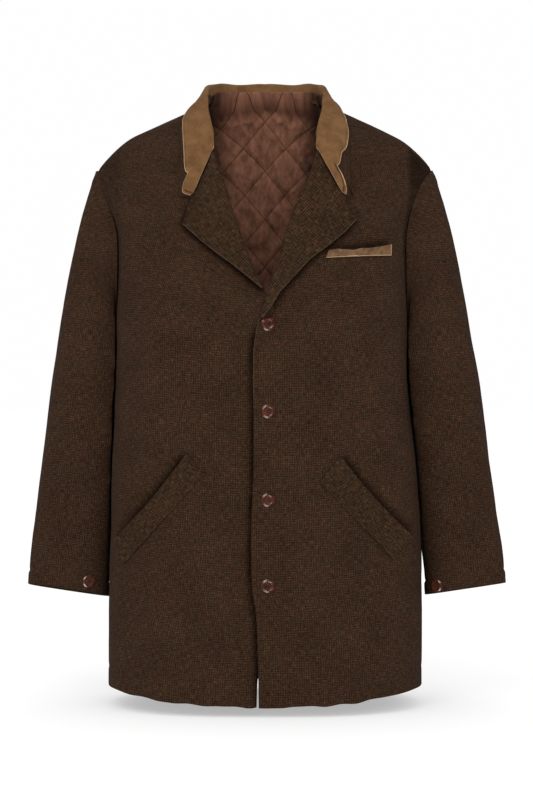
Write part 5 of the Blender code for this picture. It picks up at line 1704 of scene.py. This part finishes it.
def make_sleeve(side, look):
    points, normal, turn = sleeve(side)
    edge = edge_distances(points)
    down = edge["bottom"]
    to_cuff = edge["top"]
    around = np.broadcast_to(turn, down.shape)
    from_top = np.minimum(around, 360 - around)
    z = points[..., 2]
    relief = cloth_relief(SLEEVE_ROUND * around / 360 + side, z, SEEDS["sleeve"] + side)
    relief += creases(around, z, SLEEVE_CREASES[side], CREASE_TURN_SCALE)
    relief -= SEAM_DIP * trough(down, 0.0, SLEEVE_SEAM_WIDTH)
    at_top = ease((HEAD_TURN - from_top) / HEAD_FADE)
    relief += HEAD_RISE * trough(down, HEAD_RISE_AT, HEAD_RISE_REACH) * at_top
    relief -= CUFF_DRAWN * trough(to_cuff, CUFF_TURN_UP, CUFF_DRAWN_WIDTH)
    relief += CUFF_STEP * ease((CUFF_TURN_UP - to_cuff) / CUFF_STEP_REACH)
    relief *= calm(down, SLEEVE_CALM)
    points = points + normal * relief[..., None]
    whole = edge_distances(np.concatenate([points, points[:, :1]], axis=1))
    front_line = int(np.argmin(np.abs(turn - SLEEVE_FRONT_TURN)))
    uv = grid_uv(whole["first"] - whole["first"][:, front_line:front_line + 1], -whole["top"])
    name = NAMES[side]
    piece = shell(f"sleeve_{name}_cloth", points, normal, CLOTH, uv, look["tweed"], closed=True,
                  folded=("top",), inside=look["satin"], facing=CUFF_FACING)
    return settle(piece, f"sleeve_{name}")


def collar_layer(surface, normal, along, depth):
    """The collar's surface at this depth below its visible side, with its ends drawn onto the gorges."""
    layer = surface - normal * depth
    for side, rows in ((RIGHT, along <= 0), (LEFT, along >= 0)):
        layer[rows] = meet_gorge(layer[rows], side, np.abs(along[rows]))
    return layer


def make_collar(look):
    right, right_facing, right_along = collar_surface(RIGHT)
    left, left_facing, left_along = collar_surface(LEFT)
    surface = np.concatenate([right[::-1] * MIRROR, left[1:]])
    along = np.concatenate([-right_along[::-1], left_along[1:]])
    normal = grid_normals(surface)
    if normal[len(surface) // 2, -2, 2] < 0:
        normal = -normal
    normal[:, 0] = np.concatenate([right_facing[::-1] * MIRROR, left_facing[1:]])
    columns = surface.shape[1] - UNDER_STEPS
    top = collar_layer(surface, normal, along, 0.0)
    below = collar_layer(surface, normal, along, SUEDE + COLLAR_SEAM)
    edge = edge_distances(top)
    uv = grid_uv(edge["bottom"], edge["first"])
    to_edge = edge["first"][:, columns - 1:columns] - edge["first"]
    curl_from = np.where(along < 0, TIP_CURL_FROM[RIGHT], TIP_CURL_FROM[LEFT])
    tip = ease((np.abs(along) - curl_from) / (1 - curl_from))[:, None] ** TIP_CURL_ROUND
    reach = np.where(along < 0, CURL_REACH[RIGHT], CURL_REACH[LEFT])[:, None]
    relief = bumps(uv[..., 0], uv[..., 1], COLLAR_UNEVEN, SEEDS["collar"])
    relief += EDGE_CURL * ease(1 - to_edge / EDGE_CURL_REACH)
    relief += TIP_CURL * tip * np.maximum(1 - to_edge / reach, 0) ** 2
    relief -= COLLAR_STITCH_DEPTH * trough(to_edge, COLLAR_STITCH, COLLAR_STITCH_WIDTH) * (1 - tip)
    shown = (top + normal * relief[..., None])[:, :columns]
    normal_shown = normal[:, :columns]
    from_edge = to_edge[:, :columns]
    out = np.abs(along)[:, None]
    on_stand = np.arange(columns) < STAND_STEPS + ROLL_STEPS // 3
    # the foot of the stand is painted as lining in painted shade
    low = shown[..., 2] < LINING_JOIN_Z + LINING_JOIN_RISE * shown[..., 1]
    # painted shade in the cupped hollow of each tip
    hollow_shade = (out > HOLLOW_FROM) & (from_edge > HOLLOW_BAND[0]) & (from_edge < HOLLOW_BAND[1])
    marked = [
        (look["cut_suede"], from_edge < CUT_BAND),
        (look["painted_shade_suede"], hollow_shade),
        (look["satin_in_painted_shade"], on_stand & (out < LINED_STAND) & low),
    ]
    piece = shell("collar_facing_suede", shown, normal_shown, SUEDE, uv[:, :columns], look["suede"],
                  rim=look["cut_suede"], marked=marked)
    settle(piece, "collar_facing")
    wanted = np.broadcast_to((out > COLLAR_STITCHED[0]) & (out < COLLAR_STITCHED[1]), from_edge.shape)
    sewing = []
    for name, rows in (("right", along < 0), ("left", along > 0)):
        line = near_line(shown[rows, ::-1], normal_shown[rows, ::-1], from_edge[rows, ::-1], COLLAR_STITCH,
                         wanted[rows])
        sewing.append(sew(f"collar_{name}_stitches", line, look))
    under = shell("under_collar_cloth", below, normal, UNDER_CLOTH, uv, look["tweed"], folded=("last",))
    settle(under, "under_collar")
    return piece, under, sewing


def meet_gorge(points, side, along):
    """Draws the end of the collar sideways, as seen from the front, onto its side of the gorge seam."""
    start, _end, direction = gorge(side)
    away = np.array([-direction[1], direction[0]])
    flat = np.stack([points[..., 0] * side, points[..., 2]], axis=-1)
    distance = (flat - start) @ away
    last = distance[-1] if along[-1] > along[0] else distance[0]
    share = ease((along - COLLAR_CORNER_AT) / (1 - COLLAR_CORNER_AT))[:, None]
    move = (GORGE_GAP / 2 - last)[None, :] * share
    flat = flat + move[..., None] * away
    return np.stack([flat[..., 0] * side, points[..., 1], flat[..., 1]], axis=-1)


def make_lapel(side, look):
    out, z, lift = lapel_surface(side)
    _start, _end, direction = gorge(side)
    out[-1] += direction[1] * GORGE_GAP / 2
    z[-1] -= direction[0] * GORGE_GAP / 2
    points, normal = on_front(side, out * side, z, lift + LAPEL_CLOTH)
    edge = edge_distances(points)
    to_edge = edge["last"]
    relief = bumps(out, z, LAPEL_UNEVEN, SEEDS["lapel"] + side)
    relief += LAPEL_EDGE_LIFT * ease(1 - to_edge / LAPEL_EDGE_REACH)
    relief -= LAPEL_STITCH_DEPTH * trough(to_edge, LAPEL_STITCH, LAPEL_STITCH_WIDTH)
    points = points + normal * relief[..., None]
    name = NAMES[side]
    piece = shell(f"lapel_{name}_cloth", points, normal, LAPEL_CLOTH, turned(out * side, z, THREAD_ANGLE),
                  look["lapel_tweed"], folded=("last", "top"), rim=look["paler_edge"],
                  marked=[(look["paler_edge"], to_edge < LAPEL_BAND)])
    settle(piece, f"lapel_{name}")
    everywhere = np.ones_like(to_edge, bool)
    line = near_line(points[:, ::-1], normal[:, ::-1], to_edge[:, ::-1], LAPEL_STITCH, everywhere)
    return piece, [sew(f"lapel_{name}_stitches", line, look)]


def make_welt(name, side, corners, sag, turn, look, finish, rim=None, wave=0.0, gape=0.0):
    """Pocket welt, its opening edge off the front. wave bends that edge, and gape opens its first end."""
    ends = [np.array(row[1:]) for row in corners[1:]]
    width = float(np.linalg.norm(ends[0] - ends[2]))
    length = float(np.linalg.norm(ends[0] - ends[1]))
    along = spread(length, WELT_STEP, first=True, last=True)[:, None]
    opening = ends[0] * (1 - along) + ends[1] * along
    waves = noise(along[:, 0] * length, 0.0, WAVE_LENGTH, SEEDS["welt wave"])
    opening[:, 1] += wave * waves * ease(WAVE_END - along[:, 0]) - sag * arc(along[:, 0])
    seam = ends[2] * (1 - along) + ends[3] * along
    across = spread(width, WELT_STEP, first=True, last=True)[None, :, None]
    flat = opening[:, None] * (1 - across) + seam[:, None] * across
    out = flat[..., 0]
    z = flat[..., 1]
    raised = WELT_LIFT + gape * ease(1 - along / GAPE_REACH)
    raised = raised * np.exp(-across[..., 0] * width / WELT_LIFT_REACH)
    lift = WELT_REST + WELT + bumps(out, z, WELT_UNEVEN, SEEDS["welt"] + side) + raised
    points, normal = on_front(side, out * side, z, lift)
    edge = edge_distances(points)
    cut = (edge["last"] < CUT_BAND) | (edge["top"] < CUT_BAND)
    piece = shell(f"{name}_cloth", points, normal, WELT, turned(out * side, z, turn), look[finish],
                  folded=("first",), rim=rim, marked=[(rim, cut)] if rim else [])
    return settle(piece, name)


def lining_join(angle):
    """Edge on which the lining's top meets the collar, and the direction into the neck there."""
    neckline = body(1, angle, neckline_level(angle))
    run = unit(np.gradient(neckline, axis=0))
    inward = unit(np.stack([run[:, 1], -run[:, 0], np.zeros(len(run))], axis=-1))
    edge, along = neck_edge(LEFT)
    place = np.interp(np.abs(neckline[:, 0]), edge[:NECK_ROWS, 0], along[:NECK_ROWS])
    height = LINING_JOIN_Z + LINING_JOIN_RISE * neckline[:, 1]
    climbed = np.clip((height - neckline[:, 2]) / smooth(COLLAR_SECTIONS, "stand", place), 0, 1)
    lean = smooth(COLLAR_SECTIONS, "lean", place) * climbed
    top_edge = neckline + inward * (LINING_JOIN_IN + lean)[:, None]
    top_edge[:, 2] = height
    return top_edge, inward


def crinkles(x, z, shape, seed):
    """Rounded folds of the satin, drawn out up and down and leaning."""
    height, size, drawn, lean = shape
    return height * (1 - np.abs(noise(x + z * lean, z * drawn, size, seed))) ** 2


def make_lining(look):
    """Quilted lining of the back, puffed between diagonal lines of stitching."""
    step_angle = np.linspace(0, 90, LINING_ARC_STEPS)
    girth = body(1, step_angle, 0.0)
    length = np.concatenate([[0], np.cumsum(np.linalg.norm(np.diff(girth, axis=0), axis=1))])
    half = QUILT_HALF_COLUMNS * QUILT_STEP_X
    reach = np.linspace(-half, half, 2 * round(half / LINING_STEP) + 1)
    neck_angles = np.interp(np.abs(reach), length, step_angle) * np.sign(reach)
    bottom = QUILT_TOP_Z - QUILT_STEP_Z * (QUILT_ROWS - 1)
    plain_z = np.linspace(bottom, LINING_NECK_Z, round((LINING_NECK_Z - bottom) / LINING_STEP) + 1)[:, None]
    top_level = np.minimum(LINING_TOP_LEVEL, neckline_level(neck_angles) - LINING_NECK_GAP)
    top_z = body(1, neck_angles, top_level)[:, 2]
    fit = (top_z - QUILT_FIT_Z) / (LINING_NECK_Z - QUILT_FIT_Z)
    z = plain_z + np.maximum(plain_z - QUILT_FIT_Z, 0) * (fit - 1)
    level = level_at(1, neck_angles[None, :], z)
    angle = np.broadcast_to(neck_angles, level.shape)
    surface = body(1, angle, level)
    normal = body_normal(1, angle, level)
    column = reach / QUILT_STEP_X
    row = (QUILT_TOP_Z - plain_z) / QUILT_STEP_Z
    ways = [np.abs(np.sin(math.pi / 2 * (row + sign * column))) for sign in (1, -1)]
    pillow = np.minimum(*ways) ** PILLOW_ROUND
    folds = crinkles(reach, plain_z, NARROW_FOLD, SEEDS["narrow fold"])
    folds = folds + crinkles(reach, plain_z, WIDE_FOLD, SEEDS["wide fold"])
    relief = PILLOW_RISE * pillow + folds * ease(pillow * PILLOW_FULL)
    plain = surface - normal * (CLOTH + LINING_REST)
    quilted = plain - normal * (LINING + relief)[..., None]
    top_edge, inward = lining_join(neck_angles)
    to_side = 1 - np.abs(neck_angles) / np.where(neck_angles < 0, neck_angle(RIGHT), neck_angle(LEFT))
    climb = ease(1 - edge_distances(surface)["top"] / LINING_JOIN)
    inwards = climb ** LINING_JOIN_ROUND * ease(to_side / LINING_JOIN_FADE[0])
    climb = np.stack([inwards, inwards, climb * ease(to_side / LINING_JOIN_FADE[1])], axis=-1)
    quilted = quilted + (top_edge + inward * LINING - quilted) * climb
    piece = shell("lining_back_satin", quilted, -normal, LINING, grid_uv(reach, plain_z), look["satin"])
    return settle(piece, "lining_back")


def rounded_rise(distance, shape):
    """Rise of a rounded slope, by its height, where it starts and how long it is."""
    height, start, length = shape
    return height * ease((distance - start) / length)


def make_button(name, node_name, look):
    """Four-hole button in the place of its solid: rounded rim, dished face, four holes and crossed thread."""
    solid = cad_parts[node_name]
    places = np.array([v.co for v in solid.data.vertices], float)
    centre = (places.min(axis=0) + places.max(axis=0)) / 2
    axis = thin_direction(places - places.mean(axis=0))
    base = centre + axis * ((places @ axis).min() - centre @ axis)
    side = unit(np.cross(axis, np.array([0.0, 0.0, 1.0])))
    frame_axes = np.stack([side, np.cross(side, axis), axis])
    radii = np.concatenate([np.linspace(0.0, BUTTON_FACE, BUTTON_FACE_STEPS), np.array(BUTTON_RADII)])
    turns = np.linspace(0, 2 * math.pi, BUTTON_TURNS, endpoint=False)
    r, t = np.meshgrid(radii, turns, indexing="ij")
    x = r * np.cos(t)
    y = r * np.sin(t)
    hole_turns = [2 * math.pi * (k + 0.5) / HOLES for k in range(HOLES)]
    holes = [np.array([HOLE_OUT * math.cos(turn), HOLE_OUT * math.sin(turn)]) for turn in hole_turns]
    drop = RIM_DROP[0] * ease((r - RIM_DROP[1]) / RIM_DROP[2]) ** 2
    height = BUTTON_HEIGHT + rounded_rise(r, RIM_RISE) - drop
    for hole in holes:
        away = np.hypot(x - hole[0], y - hole[1]) / HOLE_RADIUS
        height = height - HOLE_DEPTH * ease((HOLE_SLOPE[0] - away) / HOLE_SLOPE[1])
    face = np.stack([x, y, height], axis=-1)
    back = np.stack([x, y, rounded_rise(r, BACK_RISE)], axis=-1)
    grid = np.concatenate([face, back[::-1][1:]])
    points = grid.reshape(-1, 3) @ frame_axes + base
    index = np.arange(len(points)).reshape(grid.shape[:2])
    index = np.concatenate([index, index[:, :1]], axis=1)
    faces = np.stack([index[:-1, :-1], index[1:, :-1], index[1:, 1:], index[:-1, 1:]], axis=-1).reshape(-1, 4)
    mesh = bpy.data.meshes.new(name)
    mesh.from_pydata(points.tolist(), [], faces.tolist())
    mesh.materials.append(look["horn"])
    made = link(name, mesh)
    clean_up(mesh)
    settle(made, node_name)
    lines = []
    for a, b in ((holes[0], holes[1]), (holes[3], holes[2])):
        share = np.linspace(0, 1, THREAD_STEPS)[:, None]
        thread_z = BUTTON_HEIGHT - THREAD_DIP * (2 * share - 1) ** 4
        line = np.concatenate([a * (1 - share) + b * share, thread_z], axis=1)
        lines.append((line @ frame_axes + base, np.repeat(axis[None, :], THREAD_STEPS, axis=0)))
    thread = stitches(f"{name}_thread", lines, look["thread"], pitch=HOLE_OUT * THREAD_PITCH,
                      length=HOLE_OUT * THREAD_BEAD, radius=THREAD_RADIUS)
    belong(thread)
    return made


def thin_direction(spread_points):
    """Direction in which a flat set of points is thinnest, towards the front."""
    _values, vectors = np.linalg.eigh(spread_points.T @ spread_points)
    axis = vectors[:, 0]
    return axis if axis[1] < 0 else -axis


def clean_up(mesh):
    """Joins points that meet and turns the faces outwards."""
    work = bmesh.new()
    work.from_mesh(mesh)
    bmesh.ops.remove_doubles(work, verts=work.verts, dist=JOIN_DISTANCE)
    bmesh.ops.dissolve_degenerate(work, edges=work.edges, dist=LEAST_EDGE)
    bmesh.ops.recalc_face_normals(work, faces=work.faces)
    work.to_mesh(mesh)
    work.free()
    mesh.shade_smooth()


# ---------------------------------------------------------------- stage
def make_stage():
    low_z = frame_box[0][2]
    mesh = bpy.data.meshes.new("floor")
    half = FLOOR_HALF
    corners = [(-half, -half, 0), (half, -half, 0), (half, half, 0), (-half, half, 0)]
    mesh.from_pydata([(x, y, low_z - FLOOR_DROP) for x, y, _z in corners], [], [(0, 1, 2, 3)])
    white, _tree, shader = material("floor", Roughness=1.0, Specular_IOR_Level=0.0)
    shader.inputs["Base Color"].default_value = (FLOOR_WHITE - FLOOR_GLOW,) * 3 + (1.0,)
    shader.inputs["Emission Color"].default_value = (*WHITE, 1.0)
    shader.inputs["Emission Strength"].default_value = FLOOR_GLOW
    mesh.materials.append(white)
    floor = link("floor", mesh)
    floor.visible_glossy = False
    for name, place, size, power in LIGHTS[1:]:
        light = bpy.data.lights.new(name, "AREA")
        light.shape = "SQUARE"
        light.size = size
        light.energy = power
        made = bpy.data.objects.new(name, light)
        bpy.context.scene.collection.objects.link(made)
        made.location = place
        made.visible_glossy = False
        aim = np.array(LIGHT_AIM) - np.array(place)
        made.rotation_euler = Vector(aim).to_track_quat("-Z", "Y").to_euler()


def make_world():
    """White all round, but glossy things mirror a dim room with bright windows in it."""
    world = bpy.data.worlds.new("studio")
    world.use_nodes = True
    tree = world.node_tree
    sky = tree.nodes["Background"]
    way = node(tree, "ShaderNodeTexCoord").outputs["Generated"]
    lit = 0.0
    for window in WINDOW_WAYS:
        ways = {0: way, 1: unit(np.array(window)).tolist()}
        toward = node(tree, "ShaderNodeVectorMath", ways, operation="DOT_PRODUCT").outputs["Value"]
        bright = contrast(tree, toward, math.cos(WINDOW_EDGE), math.cos(WINDOW_CORE))
        lit = calculate(tree, "ADD", bright, lit)
    room = calculate(tree, "MULTIPLY_ADD", lit, WINDOW_STRENGTH - ROOM_STRENGTH, ROOM_STRENGTH)
    glossy = node(tree, "ShaderNodeLightPath").outputs["Is Glossy Ray"]
    mirrored = calculate(tree, "MULTIPLY", calculate(tree, "SUBTRACT", room, SKY_STRENGTH), glossy)
    strength = calculate(tree, "ADD", mirrored, SKY_STRENGTH)
    sky.inputs["Color"].default_value = (*WHITE, 1.0)
    tree.links.new(strength, sky.inputs["Strength"])
    bpy.context.scene.world = world


def make_camera():
    camera = bpy.data.cameras.new("camera")
    camera.lens = CAMERA_LENS
    camera.sensor_width = CAMERA_SENSOR
    camera.sensor_fit = "AUTO"
    made = bpy.data.objects.new("camera", camera)
    bpy.context.scene.collection.objects.link(made)
    made.location = (CAMERA_X, -CAMERA_DISTANCE, CAMERA_Z)
    made.rotation_euler = (math.pi / 2, 0, 0)
    bpy.context.scene.camera = made
    bpy.context.scene.view_settings.view_transform = "Standard"


def main():
    make_camera()
    make_world()
    make_stage()
    look = {name: make_tweed(name, *values) for name, values in TWEEDS.items()}
    for name, values in SUEDES.items():
        look[name] = make_suede(name, *values)
    look["paler_edge"] = make_clouded("paler_edge", cloth_place, EDGE_CLOUDS, EDGE_TONES, EDGE_GLOSS)
    look["satin"] = make_satin("satin")
    look["satin_in_painted_shade"] = make_satin("satin_in_painted_shade", quilted=False)
    look["horn"] = make_clouded("horn", object_place, VEINS, HORN_TONES, HORN_GLOSS)
    look["thread"] = make_clouded("thread", object_place, FIBRES, THREAD_TONES, THREAD_GLOSS)
    for side in (LEFT, RIGHT):
        front, front_sewing = make_front(side, look)
        arm = make_sleeve(side, look)
        lapel, lapel_sewing = make_lapel(side, look)
        welt = make_welt(f"hip_welt_{NAMES[side]}", side, HIP_WELT[side], HIP_WELT_SAG, THREAD_ANGLE * side,
                         look, "welt_tweed")
    make_back(look)
    facing, under, collar_sewing = make_collar(look)
    make_lining(look)
    welt = make_welt("breast_welt", LEFT, BREAST_WELT, BREAST_WELT_SAG, 0, look, "pocket_suede",
                     rim=look["cut_suede"], wave=BREAST_WAVE, gape=BREAST_GAPE)
    for number in range(1, FRONT_BUTTONS + 1):
        make_button(f"front_button_{number}", f"button_front_{number}", look)
    for name in NAMES.values():
        make_button(f"cuff_button_{name}", f"button_cuff_{name}", look)


main()
